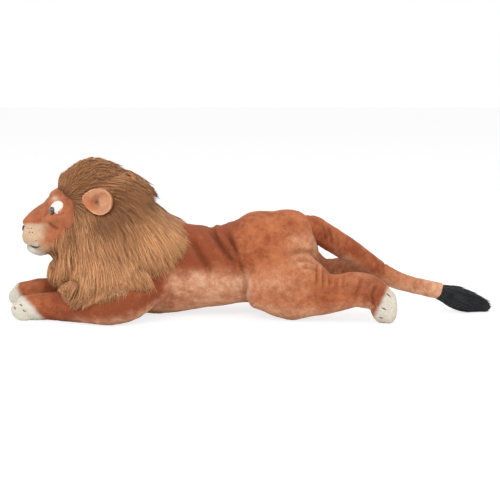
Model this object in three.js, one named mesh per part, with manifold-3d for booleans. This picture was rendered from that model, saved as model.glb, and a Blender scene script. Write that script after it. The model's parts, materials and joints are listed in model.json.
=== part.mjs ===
// A large stuffed floor toy: a lion that lies on its chest and thighs, forelegs stretched forward,
// hind legs stretched back and the tail trailing down to the floor.
// Millimetres, +Z up. The head points to -X, the left side to -Y, and the floor is z = 0.
// Every limb, the head, the ears, the tail and its tuft hang in a group at the pivot they turn about.

import * as THREE from 'three';
import { mergeVertices } from 'three/addons/utils/BufferGeometryUtils.js';
import Module from 'manifold-3d';

const wasm = await Module();
wasm.setup();

// Fabric and seams
const coverWall = 4; // plush backing and pile together
const seamGap = 0.3; // between two sewn pieces that touch
const sweepGap = 0.8; // round the path of a piece that turns
const ballGap = 0.9; // round a faceted ball that turns in its seat
const floorSink = 0.5; // how deep the stuffed forms press flat where they rest
const stuffingClearance = 16; // between the stuffing and a limb that turns in the cover
const pileClearance = 36; // between the mane and the forelegs that it turns over
const earClearance = 1.5; // between the mane and the ears that fold in it

// Torso, from the waist seam (x = 0) forward to the neck seam
const torsoLength = 350;
const torsoHeight = 220;
const torsoWidth = 208;
const waistLean = 12; // degrees the waist seam leans
const neckTilt = 38; // degrees the neck rises forward

// Rump, from the waist seam back
const rumpLength = 185;
const rumpHeight = 225;
const rumpWidth = 220;

// Head, from the back of the skull to the nose
const headLength = 222;
const headHeight = 184;
const headWidth = 176;
const headSetback = 30; // skull back behind the neck seam
const headLift = 76; // skull middle above the neck seam

// Face
const bridgeLength = 78;
const bridgeWidth = 46;
const bridgeHeight = 40;
const muzzleLength = 66;
const muzzleWidth = 92;
const muzzleHeight = 60;
const lobeSpread = 19; // half the distance between the two muzzle pads
const chinLength = 58;
const chinWidth = 60;
const chinHeight = 32;
const noseWidth = 34;
const noseHeight = 20;
const noseDepth = 14;
const eyeRadius = 12;
const eyeBulge = 8;
const eyeStemRadius = 2.5;
const eyeStemLength = 20;
const eyeForward = 30; // degrees the eyes turn out from straight ahead
const washerRadius = 9;
const washerThickness = 2;
const patchLength = 46;
const patchHeight = 40;
const patchThickness = 22;

// Ears
const earHeight = 68;
const earWidth = 64;
const earDepth = 26;
const earWall = 5;
const earLining = 4;
const earReach = 66; // from the head seam out to the middle of the cup
const earRootRadius = 15;
const earFold = 12; // degrees either way

// Mane
const maneLength = 318;
const maneHeight = 336;
const maneWidth = 316;
const maneBehindNeck = 230; // how far the mane reaches behind the neck seam
const beardLength = 104;
const beardHeight = 130;
const beardWidth = 190;

// Forelegs
const forelegLength = 339;
const forelegWidth = 88;
const forelegHeight = 100;
const shoulderSpread = 100; // middle of each shoulder from the middle plane
const elbowSpread = 148;
const forepawSpread = 88;
const forepawLead = 17; // how far the right paw lies ahead of the left, halved
const forelegIn = 3; // degrees
const forelegOut = 12; // degrees

// Hind legs
const hindlegLength = 295;
const hindlegHeight = 165;
const hindlegWidth = 120;
const hipSpread = 80;
const hindfootSpread = 124;
const hindfootHeight = 88;
const hindfootLength = 64;
const hindfootWidth = 76;
const hindlegIn = 4; // degrees
const hindlegOut = 14; // degrees

// Tail
const tailLength = 318; // along the floor, from the root to the tuft
const tailRootRadius = 30;
const tailEndRadius = 20;
const tailRootHeight = 213;
const tuftLength = 142;
const tuftRadius = 33;
const tuftOverlap = 10; // how far the tuft wraps back over the sleeve
const tailSwing = 12; // degrees either way
const tailLift = 55; // degrees up from the floor
const tuftSway = 25; // degrees either way

// Fineness of the facets
const sidesOfBody = 20;
const sidesOfLimb = 16;
const sidesOfTrim = 12;
const rowsPerSpan = 1;
const rowsPerEnd = 3;
const cuttingReach = 6 * torsoLength; // side of a cutting block
const weldDistance = 0.0001; // vertices nearer than this are one

const degrees = Math.PI / 180;
const lateral = new THREE.Vector3(0, 1, 0);
const upright = new THREE.Vector3(0, 0, 1);

// Solids

// A closed geometry as a solid.
function solidOf(geometry) {
  const bare = new THREE.BufferGeometry();
  bare.setAttribute('position', geometry.getAttribute('position'));
  if (geometry.index) bare.setIndex(geometry.index);
  const merged = mergeVertices(bare, weldDistance);
  return new wasm.Manifold(new wasm.Mesh({
    numProp: 3,
    vertProperties: merged.attributes.position.array,
    triVerts: new Uint32Array(merged.index.array),
  }));
}

// A solid as a geometry for a mesh.
function geometryOf(solid) {
  const mesh = solid.getMesh();
  const geometry = new THREE.BufferGeometry();
  geometry.setAttribute('position', new THREE.BufferAttribute(mesh.vertProperties, 3));
  geometry.setIndex(new THREE.BufferAttribute(mesh.triVerts, 1));
  return geometry;
}

// A solid moved by a matrix.
function moved(solid, matrix) {
  return solidOf(geometryOf(solid).applyMatrix4(matrix));
}

// The matrix that turns about an axis through a point.
function turnAbout(point, axis, angle) {
  return new THREE.Matrix4()
    .makeTranslation(point.x, point.y, point.z)
    .multiply(new THREE.Matrix4().makeRotationAxis(axis, angle * degrees))
    .multiply(new THREE.Matrix4().makeTranslation(-point.x, -point.y, -point.z));
}

// All that a solid passes through while it turns about an axis, in steps.
function swept(solid, point, axis, from, to, steps) {
  let path = solid;
  for (let i = 0; i <= steps; i++) {
    const angle = from + (to - from) * i / steps;
    if (angle !== 0) path = path.add(moved(solid, turnAbout(point, axis, angle)));
  }
  return path;
}

// The biggest body of a solid, without the crumbs that a cut leaves.
function mainBody(solid) {
  return solid.decompose().reduce((a, b) => (a.volume() > b.volume() ? a : b));
}

function cutBy(solid, ...tools) {
  return mainBody(tools.reduce((rest, tool) => rest.subtract(tool), solid));
}

// A block that fills the half of space that `normal` points into, from `point` on.
function halfSpace(point, normal) {
  const block = new THREE.BoxGeometry(cuttingReach, cuttingReach, cuttingReach);
  block.translate(0, 0, cuttingReach / 2);
  block.applyQuaternion(new THREE.Quaternion().setFromUnitVectors(upright, normal));
  block.translate(point.x, point.y, point.z);
  return solidOf(block);
}

const underFloor = halfSpace(new THREE.Vector3(0, 0, 0), new THREE.Vector3(0, 0, -1));

function ball(centre, radius, sides = sidesOfBody) {
  const geometry = new THREE.SphereGeometry(radius, sides, sides / 2);
  return solidOf(geometry.translate(centre.x, centre.y, centre.z));
}

// A ball squeezed along its own axes, turned by a quaternion.
function lens(centre, radii, turn, sides = sidesOfTrim) {
  const geometry = new THREE.SphereGeometry(1, sides, sides / 2 + 1);
  geometry.scale(radii.x, radii.y, radii.z).applyQuaternion(turn);
  return solidOf(geometry.translate(centre.x, centre.y, centre.z));
}

// A stuffed form. Stations along a spine give its middle (at), its half-height (high) and its
// half-width (wide). The sections stand square to the spine, smoothed between the stations, and
// both ends close in round crowns of length `crown`. `grow` swells or shrinks the whole form.
function stuffed(stations, { crown, sides = sidesOfLimb, rows = rowsPerSpan, grow = 0 }) {
  const spine = new THREE.CatmullRomCurve3(stations.map((s) => s.at), false, 'catmullrom', 0.5);
  const girth = new THREE.CatmullRomCurve3(
    stations.map((s) => new THREE.Vector3(s.high, s.wide, 0)), false, 'catmullrom', 0.5);
  const spans = (stations.length - 1) * rows;
  const rings = [];
  const ring = (middle, along, size, share) => {
    const side = new THREE.Vector3().crossVectors(along, upright).normalize();
    const rise = new THREE.Vector3().crossVectors(side, along).normalize();
    const points = [];
    for (let j = 0; j < sides; j++) {
      const angle = 2 * Math.PI * j / sides;
      points.push(middle.clone()
        .addScaledVector(side, Math.cos(angle) * (size.y + grow) * share)
        .addScaledVector(rise, Math.sin(angle) * (size.x + grow) * share));
    }
    rings.push(points);
  };
  const poles = [];
  const crownAt = (t, direction) => {
    const along = spine.getTangent(t);
    const size = girth.getPoint(t);
    const rowsHere = [];
    for (let k = 1; k < rowsPerEnd; k++) {
      const angle = Math.PI / 2 * k / rowsPerEnd;
      const middle = spine.getPoint(t)
        .addScaledVector(along, direction * (crown + grow) * Math.sin(angle));
      rowsHere.push([middle, along, size, Math.cos(angle)]);
    }
    poles.push(spine.getPoint(t).addScaledVector(along, direction * (crown + grow)));
    return rowsHere;
  };
  crownAt(0, -1).reverse().forEach((row) => ring(...row));
  for (let i = 0; i <= spans; i++) {
    const t = i / spans;
    ring(spine.getPoint(t), spine.getTangent(t), girth.getPoint(t), 1);
  }
  crownAt(1, 1).forEach((row) => ring(...row));

  const positions = [...poles, ...rings.flat()].flatMap((p) => [p.x, p.y, p.z]);
  const faces = [];
  const last = rings.length - 1;
  for (let j = 0; j < sides; j++) {
    const next = (j + 1) % sides;
    faces.push(0, 2 + j, 2 + next);
    faces.push(1, 2 + last * sides + next, 2 + last * sides + j);
    for (let i = 0; i < last; i++) {
      const a = 2 + i * sides;
      const b = a + sides;
      faces.push(a + j, b + next, a + next, a + j, b + j, b + next);
    }
  }
  const geometry = new THREE.BufferGeometry();
  geometry.setAttribute('position', new THREE.Float32BufferAttribute(positions, 3));
  geometry.setIndex(faces);
  return solidOf(geometry);
}

// The three layers of a stuffed form: its outside, the inside of its cover, and its stuffing.
// The inside has half as many facets as the outside.
function layers(stations, options) {
  const { sides = sidesOfLimb, rows = rowsPerSpan } = options;
  const inner = { ...options, sides: sides / 2, rows: Math.ceil(rows / 2) };
  return {
    outer: stuffed(stations, options),
    grown: stuffed(stations, { ...options, grow: seamGap }),
    swelled: stuffed(stations, { ...options, grow: sweepGap }),
    hollow: stuffed(stations, { ...inner, grow: -coverWall }),
    core: stuffed(stations, { ...inner, grow: -coverWall - seamGap }),
  };
}

// Stations lowered until the form that they make presses into the floor.
function pressed(stations, options) {
  const form = geometryOf(stuffed(stations, options));
  const low = new THREE.Box3().setFromBufferAttribute(form.getAttribute('position')).min.z;
  for (const station of stations) station.at.z -= low + floorSink;
  return stations;
}

// The direction turned out by one angle from straight ahead and raised by another.
// `side` is -1 for the left of the toy and 1 for the right.
function directionOf(side, outward, raised) {
  const level = Math.cos(raised * degrees);
  return new THREE.Vector3(
    -Math.cos(outward * degrees) * level,
    side * Math.sin(outward * degrees) * level,
    Math.sin(raised * degrees));
}

// Torso and rump. Each row of shares: how far along, height of the middle, half-height, half-width.

const torsoCrownShare = 0.3; // length of a round end
const torsoShares = [
  [-0.14, 0.640, 0.500, 0.520],
  [0.00, 0.597, 0.498, 0.510],
  [0.14, 0.534, 0.452, 0.490],
  [0.29, 0.525, 0.471, 0.510],
  [0.47, 0.520, 0.518, 0.550],
  [0.65, 0.545, 0.5475, 0.580],
  [0.84, 0.620, 0.540, 0.560],
  [1.00, 0.773, 0.460, 0.470],
  [1.12, 0.925, 0.400, 0.410],
];
const torsoEnds = { crown: torsoCrownShare * torsoHeight, sides: sidesOfBody };
const torsoStations = pressed(torsoShares.map(([along, middle, high, wide]) => ({
  at: new THREE.Vector3(-along * torsoLength, 0, middle * torsoHeight),
  high: high * torsoHeight,
  wide: wide * torsoWidth,
})), torsoEnds);
const neckShare = 1.00; // the torso station that lies on the neck seam
const neckStation = torsoShares.findIndex(([along]) => along === neckShare);
const neck = torsoStations[neckStation].at;
const neckAxis = new THREE.Vector3(-Math.cos(neckTilt * degrees), 0, Math.sin(neckTilt * degrees));

const rumpCrownShare = 0.105; // length of a round end
const rumpShares = [
  [-0.16, 0.540, 0.440, 0.450],
  [0.00, 0.582, 0.489, 0.488],
  [0.27, 0.627, 0.509, 0.510],
  [0.54, 0.682, 0.471, 0.505],
  [0.81, 0.756, 0.364, 0.445],
  [0.90, 0.782, 0.302, 0.380],
];
const rumpStations = rumpShares.map(([along, middle, high, wide]) => ({
  at: new THREE.Vector3(along * rumpLength, 0, middle * rumpHeight),
  high: high * rumpHeight,
  wide: wide * rumpWidth,
}));

// The block behind a seam plane, less half a seam, and the block before it.
function seam(point, axis) {
  const half = axis.clone().multiplyScalar(seamGap / 2);
  return {
    before: halfSpace(point.clone().sub(half), axis.clone()),
    behind: halfSpace(point.clone().add(half), axis.clone().negate()),
  };
}

const waist = new THREE.Vector3(0, 0, torsoStations[1].at.z);
const waistAxis = new THREE.Vector3(-Math.cos(waistLean * degrees), 0, -Math.sin(waistLean * degrees));
const waistSeam = seam(waist, waistAxis);
const neckSeam = seam(neck, neckAxis);

const torso = layers(torsoStations, torsoEnds);
const rump = layers(rumpStations, { crown: rumpCrownShare * rumpHeight, sides: sidesOfBody });

// Head

const skullShares = [
  [0.00, 0.010, 0.270, 0.284],
  [0.135, 0.000, 0.424, 0.432],
  [0.306, -0.027, 0.500, 0.511],
  [0.440, -0.064, 0.492, 0.500],
  [0.540, -0.094, 0.466, 0.470],
  [0.610, -0.114, 0.436, 0.438],
  [0.665, -0.124, 0.405, 0.395],
  [0.715, -0.124, 0.352, 0.335],
];
const skullMiddle = neck.z + headLift;
const skullBack = neck.x + headSetback;
const skullStations = skullShares.map(([along, middle, high, wide]) => ({
  at: new THREE.Vector3(skullBack - along * headLength, 0, skullMiddle + middle * headHeight),
  high: high * headHeight,
  wide: wide * headWidth,
}));
const neckTaperShare = 0.06; // how much the neck thins towards the skull
const neckStations = [-1, 0, 1].map((step) => ({
  at: neck.clone().addScaledVector(neckAxis, step * headSetback),
  high: torsoStations[neckStation].high * (1 - neckTaperShare * step),
  wide: torsoStations[neckStation].wide * (1 - neckTaperShare * step),
}));
const noseTip = skullBack - headLength;
const bridgeDropShare = 0.12; // of the head height, below the skull middle
const bridgeShares = [
  [0.00, 0.950, 0.650, 0.60],
  [0.40, 0.625, 0.550, 0.52],
  [0.80, 0.225, 0.325, 0.45],
  [0.94, 0.125, 0.200, 0.36],
];
const bridgeMiddle = skullMiddle - bridgeDropShare * headHeight;
const bridgeStations = bridgeShares.map(([along, middle, high, wide]) => ({
  at: new THREE.Vector3(noseTip + (1 - along) * bridgeLength, 0, bridgeMiddle + middle * bridgeHeight),
  high: high * bridgeHeight,
  wide: wide * bridgeWidth,
}));

const skullCrownShare = 0.063;
const bridgeCrownShare = 0.06;

// One layer of the head: skull, neck and nose bridge as one form, ended at the neck seam.
function headLayer(grow, sides, rows) {
  const skull = stuffed(skullStations, { crown: skullCrownShare * headLength, sides, rows, grow });
  const stub = stuffed(neckStations, { crown: headSetback, sides, rows, grow });
  const bridge = stuffed(bridgeStations, { crown: bridgeCrownShare * bridgeLength, sides: sides / 2, rows, grow });
  return skull.add(stub).add(bridge);
}
const headOuter = headLayer(0, sidesOfBody, rowsPerSpan);
const headGrown = headLayer(seamGap, sidesOfBody, rowsPerSpan);
const headHollow = headLayer(-coverWall, sidesOfBody / 2, 1);
const headCore = headLayer(-coverWall - seamGap, sidesOfBody / 2, 1);

// Muzzle, chin and nose

const muzzleDropShare = 0.26; // of the head height, below the skull middle
const muzzleCrownShare = 0.12;
const muzzleMiddle = new THREE.Vector3(
  noseTip + muzzleLength / 2, 0, skullMiddle - muzzleDropShare * headHeight);
const muzzleShares = [
  [-0.45, 0.05, 0.52, 0.30],
  [0.00, 0.00, 0.50, 0.29],
  [0.36, 0.05, 0.40, 0.23],
];

// The two pads of the muzzle, joined in the middle.
function muzzleForm(grow) {
  const pad = (side) => stuffed(muzzleShares.map(([along, middle, high, wide]) => ({
    at: muzzleMiddle.clone().add(new THREE.Vector3(
      -along * muzzleLength, side * lobeSpread, middle * muzzleHeight)),
    high: high * muzzleHeight,
    wide: wide * muzzleWidth,
  })), { crown: muzzleCrownShare * muzzleLength, grow });
  return pad(-1).add(pad(1));
}

const chinBackShare = 0.65; // of its length, behind the nose tip
const chinDropShare = 0.2; // of its height, under the muzzle
const chinMiddle = new THREE.Vector3(
  noseTip + chinBackShare * chinLength, 0,
  muzzleMiddle.z - muzzleHeight / 2 - chinDropShare * chinHeight);
const chinTilt = 14; // degrees the chin rises towards the front
function chinForm(grow) {
  return lens(chinMiddle, new THREE.Vector3(
    chinLength / 2 + grow, chinWidth / 2 + grow, chinHeight / 2 + grow),
  new THREE.Quaternion().setFromAxisAngle(lateral, chinTilt * degrees));
}

const noseRiseShare = 0.25; // of the muzzle height, above its middle
const noseMiddle = new THREE.Vector3(
  noseTip + noseDepth / 2, 0, muzzleMiddle.z + noseRiseShare * muzzleHeight);
function noseForm(grow) {
  return lens(noseMiddle, new THREE.Vector3(
    noseDepth / 2 + grow, noseWidth / 2 + grow, noseHeight / 2 + grow), new THREE.Quaternion());
}

// Eyes: a dome on a flange with a stem, its washer, and the plush patch it sits in.
// Places on the head are shares of its length from the back, its width and its height.

function placeOnHead(side, [along, aside, above]) {
  return new THREE.Vector3(
    skullBack - along * headLength, side * aside * headWidth, skullMiddle + above * headHeight);
}

const eyeShares = [0.68, 0.305, 0.12];
const eyeRise = 7; // degrees the eyes look up
const domeShares = [0.95, 0.8, 0.55, 0.28];
const eyeFlange = 2;
const washerDepth = 11; // behind the flange
function eyePlace(side) {
  const facing = directionOf(side, eyeForward, eyeRise);
  return {
    at: placeOnHead(side, eyeShares),
    turn: new THREE.Quaternion().setFromUnitVectors(lateral, facing),
  };
}

// A profile of [radius, distance] points turned about the direction that the eye faces.
function turnedOnEye(profile, side) {
  const { at, turn } = eyePlace(side);
  const points = profile.map(([radius, along]) => new THREE.Vector2(radius, along));
  const geometry = new THREE.LatheGeometry(points, sidesOfTrim).applyQuaternion(turn);
  return solidOf(geometry.translate(at.x, at.y, at.z));
}

function eyeForm(side, grow) {
  const radius = eyeRadius + grow;
  const dome = domeShares.map((share) => [
    radius * share, (eyeBulge + grow) * Math.sqrt(1 - share * share)]);
  return turnedOnEye([
    [0, -eyeStemLength - grow],
    [eyeStemRadius + grow, -eyeStemLength - grow],
    [eyeStemRadius + grow, -eyeFlange - grow],
    [radius, -eyeFlange - grow],
    [radius, 0],
    ...dome,
    [0, eyeBulge + grow],
  ], side);
}

function washerForm(side, grow) {
  const hole = eyeStemRadius + seamGap - grow;
  const back = -washerDepth - washerThickness - grow;
  const front = -washerDepth + grow;
  const rim = washerRadius + grow;
  return turnedOnEye([[hole, back], [rim, back], [rim, front], [hole, front], [hole, back]], side);
}

const patchPlaceShares = [0.655, 0.315, 0.135];
const patchOutward = 55; // degrees
const patchRise = 26; // degrees
function patchForm(side, grow) {
  const facing = directionOf(side, patchOutward, patchRise);
  return lens(placeOnHead(side, patchPlaceShares), new THREE.Vector3(
    patchLength / 2 + grow, patchThickness / 2 + grow, patchHeight / 2 + grow),
    new THREE.Quaternion().setFromUnitVectors(lateral, facing), sidesOfLimb);
}

// Ears: a cupped back with a root that goes into the head seam, and a thinner lining in the cup.

const earRootShares = [0.22, 0.40, 0.20];
const earOutward = 115; // degrees the root leads out, from straight ahead
const earRise = 13; // degrees
const earFaceOutward = 63; // degrees the cup faces out, from straight ahead
const earFaceRise = 7; // degrees
const earAxis = (side) => new THREE.Vector3(-side, 0, 0);
const earRoot = (side) => placeOnHead(side, earRootShares);
function earPlace(side) {
  const outwards = directionOf(side, earOutward, earRise);
  const facing = directionOf(side, earFaceOutward, earFaceRise);
  return {
    middle: earRoot(side).addScaledVector(outwards, earReach),
    facing,
    turn: new THREE.Quaternion().setFromUnitVectors(lateral, facing),
  };
}
function earLens(side, inset, forward) {
  const { middle, facing, turn } = earPlace(side);
  return lens(middle.clone().addScaledVector(facing, forward), new THREE.Vector3(
    earWidth / 2 - inset, earDepth / 2 - inset / 2, earHeight / 2 - inset), turn, sidesOfTrim);
}
const earStalkShares = [[0, 1, 1], [0.5, 1.125, 0.925], [1, 1.25, 0.85]]; // along, high, wide
const earStalkBackShare = 0.25; // of the ear depth, where the root meets the cup
const earStalkCrownShare = 0.7;
function earStalk(side, grow) {
  const root = earRoot(side);
  const { middle, facing } = earPlace(side);
  const behind = middle.clone().addScaledVector(facing, -earStalkBackShare * earDepth);
  return stuffed(earStalkShares.map(([along, high, wide]) => ({
    at: root.clone().lerp(behind, along),
    high: high * earRootRadius,
    wide: wide * earRootRadius,
  })), { crown: earStalkCrownShare * earRootRadius, sides: sidesOfTrim, rows: 1, grow });
}
const earHollowShare = 0.36; // of the ear depth, how far forward the hollow sits
const earHollow = (side, inset = 0) => earLens(side, earWall + inset, earHollowShare * earDepth);
const earWhole = (side, grow) => earLens(side, -grow, 0).add(earStalk(side, grow));

// Mane

const maneCrownShare = 0.05;
const maneShares = [
  [0.072, 0.604, 0.090, 0.190],
  [0.157, 0.542, 0.208, 0.386],
  [0.292, 0.512, 0.351, 0.449],
  [0.450, 0.571, 0.396, 0.475],
  [0.629, 0.631, 0.443, 0.500],
  [0.770, 0.633, 0.490, 0.485],
  [0.850, 0.627, 0.492, 0.400],
  [0.915, 0.615, 0.480, 0.300],
  [0.965, 0.602, 0.452, 0.230],
];
const maneRear = neck.x + maneBehindNeck;
const maneForm = stuffed(maneShares.map(([along, middle, high, wide]) => ({
  at: new THREE.Vector3(maneRear - along * maneLength, 0, middle * maneHeight),
  high: high * maneHeight,
  wide: wide * maneWidth,
})), { crown: maneCrownShare * maneLength, sides: sidesOfBody });

const beardStartShare = 0.85; // of the mane length
const beardCrownShare = 0.18;
const beardShares = [
  [0.15, 0.754, 0.490, 0.484],
  [0.50, 0.785, 0.460, 0.442],
  [0.82, 0.846, 0.340, 0.326],
];
const beardRear = maneRear - beardStartShare * maneLength;
const beardForm = stuffed(beardShares.map(([along, middle, high, wide]) => ({
  at: new THREE.Vector3(beardRear - along * beardLength, 0, middle * beardHeight),
  high: high * beardHeight,
  wide: wide * beardWidth,
})), { crown: beardCrownShare * beardLength });

// Forelegs: shares of the length, of the spread at shoulder, elbow and paw, of the lift off the
// floor, and of the half-height and half-width.

const forelegShares = [
  [0.000, 1.00, 0.00, 0.00, 0.30, 0.55, 0.56],
  [0.118, 0.40, 0.60, 0.00, 0.04, 0.60, 0.61],
  [0.230, 0.00, 1.00, 0.00, 0.00, 0.50, 0.50],
  [0.392, 0.00, 0.72, 0.28, 0.00, 0.43, 0.48],
  [0.555, 0.00, 0.30, 0.70, 0.00, 0.38, 0.43],
  [0.687, 0.00, 0.06, 0.94, 0.00, 0.35, 0.40],
  [0.805, 0.00, 0.00, 1.00, 0.00, 0.33, 0.45],
  [0.910, 0.00, 0.00, 0.98, 0.00, 0.30, 0.42],
];
const shoulderShare = 0.675; // of the torso, from the waist
const wristShare = 0.74; // of the foreleg
const shoulder = (side) => new THREE.Vector3(-shoulderShare * torsoLength, side * shoulderSpread, 0);
const forelegReach = (side) => forelegLength + side * forepawLead;
const forelegCrownShare = 0.07;
const forelegEnds = (side) => ({ crown: forelegCrownShare * forelegReach(side) });
function forelegStations(side) {
  return pressed(forelegShares.map(([along, atShoulder, atElbow, atPaw, lift, high, wide]) => ({
    at: new THREE.Vector3(
      shoulder(side).x - along * forelegReach(side),
      side * (atShoulder * shoulderSpread + atElbow * elbowSpread + atPaw * forepawSpread),
      (lift + high) * forelegHeight),
    high: high * forelegHeight,
    wide: wide * forelegWidth,
  })), forelegEnds(side));
}

// Hind legs: a thigh that tapers to the shank, and an upright foot.

const hindlegShares = [
  [0.00, 0.558, 0.400, 0.417],
  [0.15, 0.545, 0.485, 0.475],
  [0.36, 0.494, 0.497, 0.467],
  [0.56, 0.418, 0.321, 0.383],
  [0.685, 0.436, 0.273, 0.350],
  [0.81, 0.491, 0.261, 0.342],
  [0.91, 0.467, 0.255, 0.333],
  [1.00, 0.400, 0.218, 0.308],
];
const thighStart = 0.23; // of the rump, from the waist
const hipShare = 0.43; // of the rump, from the waist
const ankleShare = 0.965; // of the hind leg
const footShare = 1.04; // of the hind leg
const hip = (side) => new THREE.Vector3(hipShare * rumpLength, side * hipSpread, 0);
const hindlegCrownShare = 0.09;
const hindlegEnds = { crown: hindlegCrownShare * hindlegLength };
function hindlegStations(side) {
  return pressed(hindlegShares.map(([along, middle, high, wide]) => ({
    at: new THREE.Vector3(
      thighStart * rumpLength + along * hindlegLength,
      side * (hipSpread + (hindfootSpread - hipSpread) * along),
      middle * hindlegHeight),
    high: high * hindlegHeight,
    wide: wide * hindlegWidth,
  })), hindlegEnds);
}
function hindfootForm(side, grow, sides) {
  const at = new THREE.Vector3(
    thighStart * rumpLength + footShare * hindlegLength, side * hindfootSpread,
    hindfootHeight / 2 - floorSink);
  return lens(at, new THREE.Vector3(
    hindfootLength / 2 + grow, hindfootWidth / 2 + grow, hindfootHeight / 2 + grow),
  new THREE.Quaternion(), sides);
}

// Tail and tuft

const tailShares = [
  [0.00, 1.000, 1.00],
  [0.25, 0.766, 0.97],
  [0.41, 0.601, 0.70],
  [0.57, 0.442, 0.40],
  [0.76, 0.333, 0.13],
  [1.00, 0.249, 0.00],
];
const tailStartShare = 0.985; // of the rump
const tailCrownShare = 0.9;
const tailPivot = new THREE.Vector3(tailStartShare * rumpLength, 0, tailRootHeight);
const tailStations = tailShares.map(([along, height, girth]) => {
  const radius = tailEndRadius + girth * (tailRootRadius - tailEndRadius);
  return {
    at: new THREE.Vector3(tailPivot.x + along * tailLength, 0, height * tailRootHeight),
    high: radius,
    wide: radius,
  };
});
const tuftPivot = tailStations.at(-1).at;
const tuftShares = [
  [0.00, 1.00, 0.67, 0.67],
  [0.13, 0.91, 0.82, 0.80],
  [0.33, 0.72, 0.98, 1.00],
  [0.60, 0.50, 0.82, 0.85],
  [0.80, 0.34, 0.55, 0.55],
  [0.92, 0.24, 0.37, 0.36],
];
const tuftCrownShare = 0.08;
const tuftEnds = { crown: tuftCrownShare * tuftLength, sides: sidesOfTrim };
const tuftStations = pressed(tuftShares.map(([along, height, high, wide]) => ({
  at: new THREE.Vector3(
    tuftPivot.x - tuftOverlap + along * tuftLength, 0, height * tuftPivot.z),
  high: high * tuftRadius,
  wide: wide * tuftRadius,
})), tuftEnds);

// Colours of the pile, and the two hard finishes

const plush = (color) => new THREE.MeshStandardMaterial({ color, roughness: 0.95, metalness: 0 });
const finish = {
  rust: plush(0xb5704c),
  cream: plush(0xdfc9a8),
  white: plush(0xe6dccd),
  pink: plush(0xd49d78),
  tan: plush(0xa9734b),
  black: plush(0x26272b),
  stuffing: plush(0xf2f2ee),
  nose: plush(0x6a4a40),
  eye: new THREE.MeshStandardMaterial({ color: 0x20140c, roughness: 0.12, metalness: 0 }),
  washer: new THREE.MeshStandardMaterial({ color: 0xe8e6df, roughness: 0.5, metalness: 0 }),
};

// Assembly

const lion = new THREE.Group();

// A group at a pivot, in the group of the body that carries it.
function bodyAt(pivot, parent, name) {
  const group = new THREE.Group();
  group.name = name;
  group.userData.pivot = pivot.clone();
  const carrier = parent.userData.pivot ?? new THREE.Vector3();
  group.position.copy(pivot).sub(carrier);
  parent.add(group);
  return group;
}

// A named mesh in the group of its body.
function piece(name, solid, material, group) {
  const geometry = geometryOf(solid);
  const pivot = group.userData.pivot ?? new THREE.Vector3();
  geometry.translate(-pivot.x, -pivot.y, -pivot.z);
  geometry.computeVertexNormals();
  const mesh = new THREE.Mesh(geometry, material);
  mesh.name = name;
  group.add(mesh);
}

const sides = { left: -1, right: 1 };
const trunk = bodyAt(new THREE.Vector3(), lion, 'torso');

// Legs, with the paths that they sweep

const legPaths = [];
const forelegPaths = [];
const stuffingCuts = [];
const pileCuts = [];
const coarse = { sides: sidesOfTrim, rows: 1 };
for (const [word, side] of Object.entries(sides)) {
  const foreleg = layers(forelegStations(side), forelegEnds(side));
  const forelegAxis = new THREE.Vector3(0, 0, -side);
  const forelegPath = swept(foreleg.swelled, shoulder(side), forelegAxis, -forelegIn, forelegOut, 2);
  const wrist = seam(new THREE.Vector3(
    shoulder(side).x - wristShare * forelegReach(side), 0, 0), new THREE.Vector3(-1, 0, 0));
  const forelegGroup = bodyAt(shoulder(side), trunk, `foreleg_${word}`);
  const forelegCover = foreleg.outer.subtract(foreleg.hollow);
  piece(`foreleg_cover_${word}`, cutBy(forelegCover, wrist.before, underFloor), finish.rust, forelegGroup);
  piece(`forepaw_${word}`, cutBy(forelegCover, wrist.behind, underFloor), finish.white, forelegGroup);
  piece(`foreleg_stuffing_${word}`, cutBy(foreleg.core, underFloor), finish.stuffing, forelegGroup);
  forelegPaths.push(forelegPath);
  pileCuts.push(stuffed(forelegStations(side), { ...coarse, ...forelegEnds(side), grow: pileClearance }));

  const thigh = layers(hindlegStations(side), hindlegEnds);
  const hindlegAxis = new THREE.Vector3(0, 0, side);
  const hindlegPath = swept(thigh.swelled, hip(side), hindlegAxis, -hindlegIn, hindlegOut, 6);
  const ankle = seam(new THREE.Vector3(
    thighStart * rumpLength + ankleShare * hindlegLength, 0, 0), new THREE.Vector3(1, 0, 0));
  const hindlegGroup = bodyAt(hip(side), trunk, `hindleg_${word}`);
  const hindlegOuter = thigh.outer.add(hindfootForm(side, 0, sidesOfLimb));
  const hindlegHollow = thigh.hollow.add(hindfootForm(side, -coverWall, sidesOfLimb / 2));
  const hindlegCore = thigh.core.add(hindfootForm(side, -coverWall - seamGap, sidesOfLimb / 2));
  const hindlegCover = hindlegOuter.subtract(hindlegHollow);
  piece(`hindleg_cover_${word}`, cutBy(hindlegCover, ankle.before, underFloor), finish.rust, hindlegGroup);
  piece(`hindfoot_${word}`, cutBy(hindlegCover, ankle.behind, underFloor), finish.white, hindlegGroup);
  piece(`hindleg_stuffing_${word}`, cutBy(hindlegCore, underFloor), finish.stuffing, hindlegGroup);
  legPaths.push(forelegPath, hindlegPath);
  stuffingCuts.push(
    stuffed(forelegStations(side), { ...coarse, ...forelegEnds(side), grow: stuffingClearance }),
    stuffed(hindlegStations(side), { ...coarse, ...hindlegEnds, grow: stuffingClearance }));
}

// Tail

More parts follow.
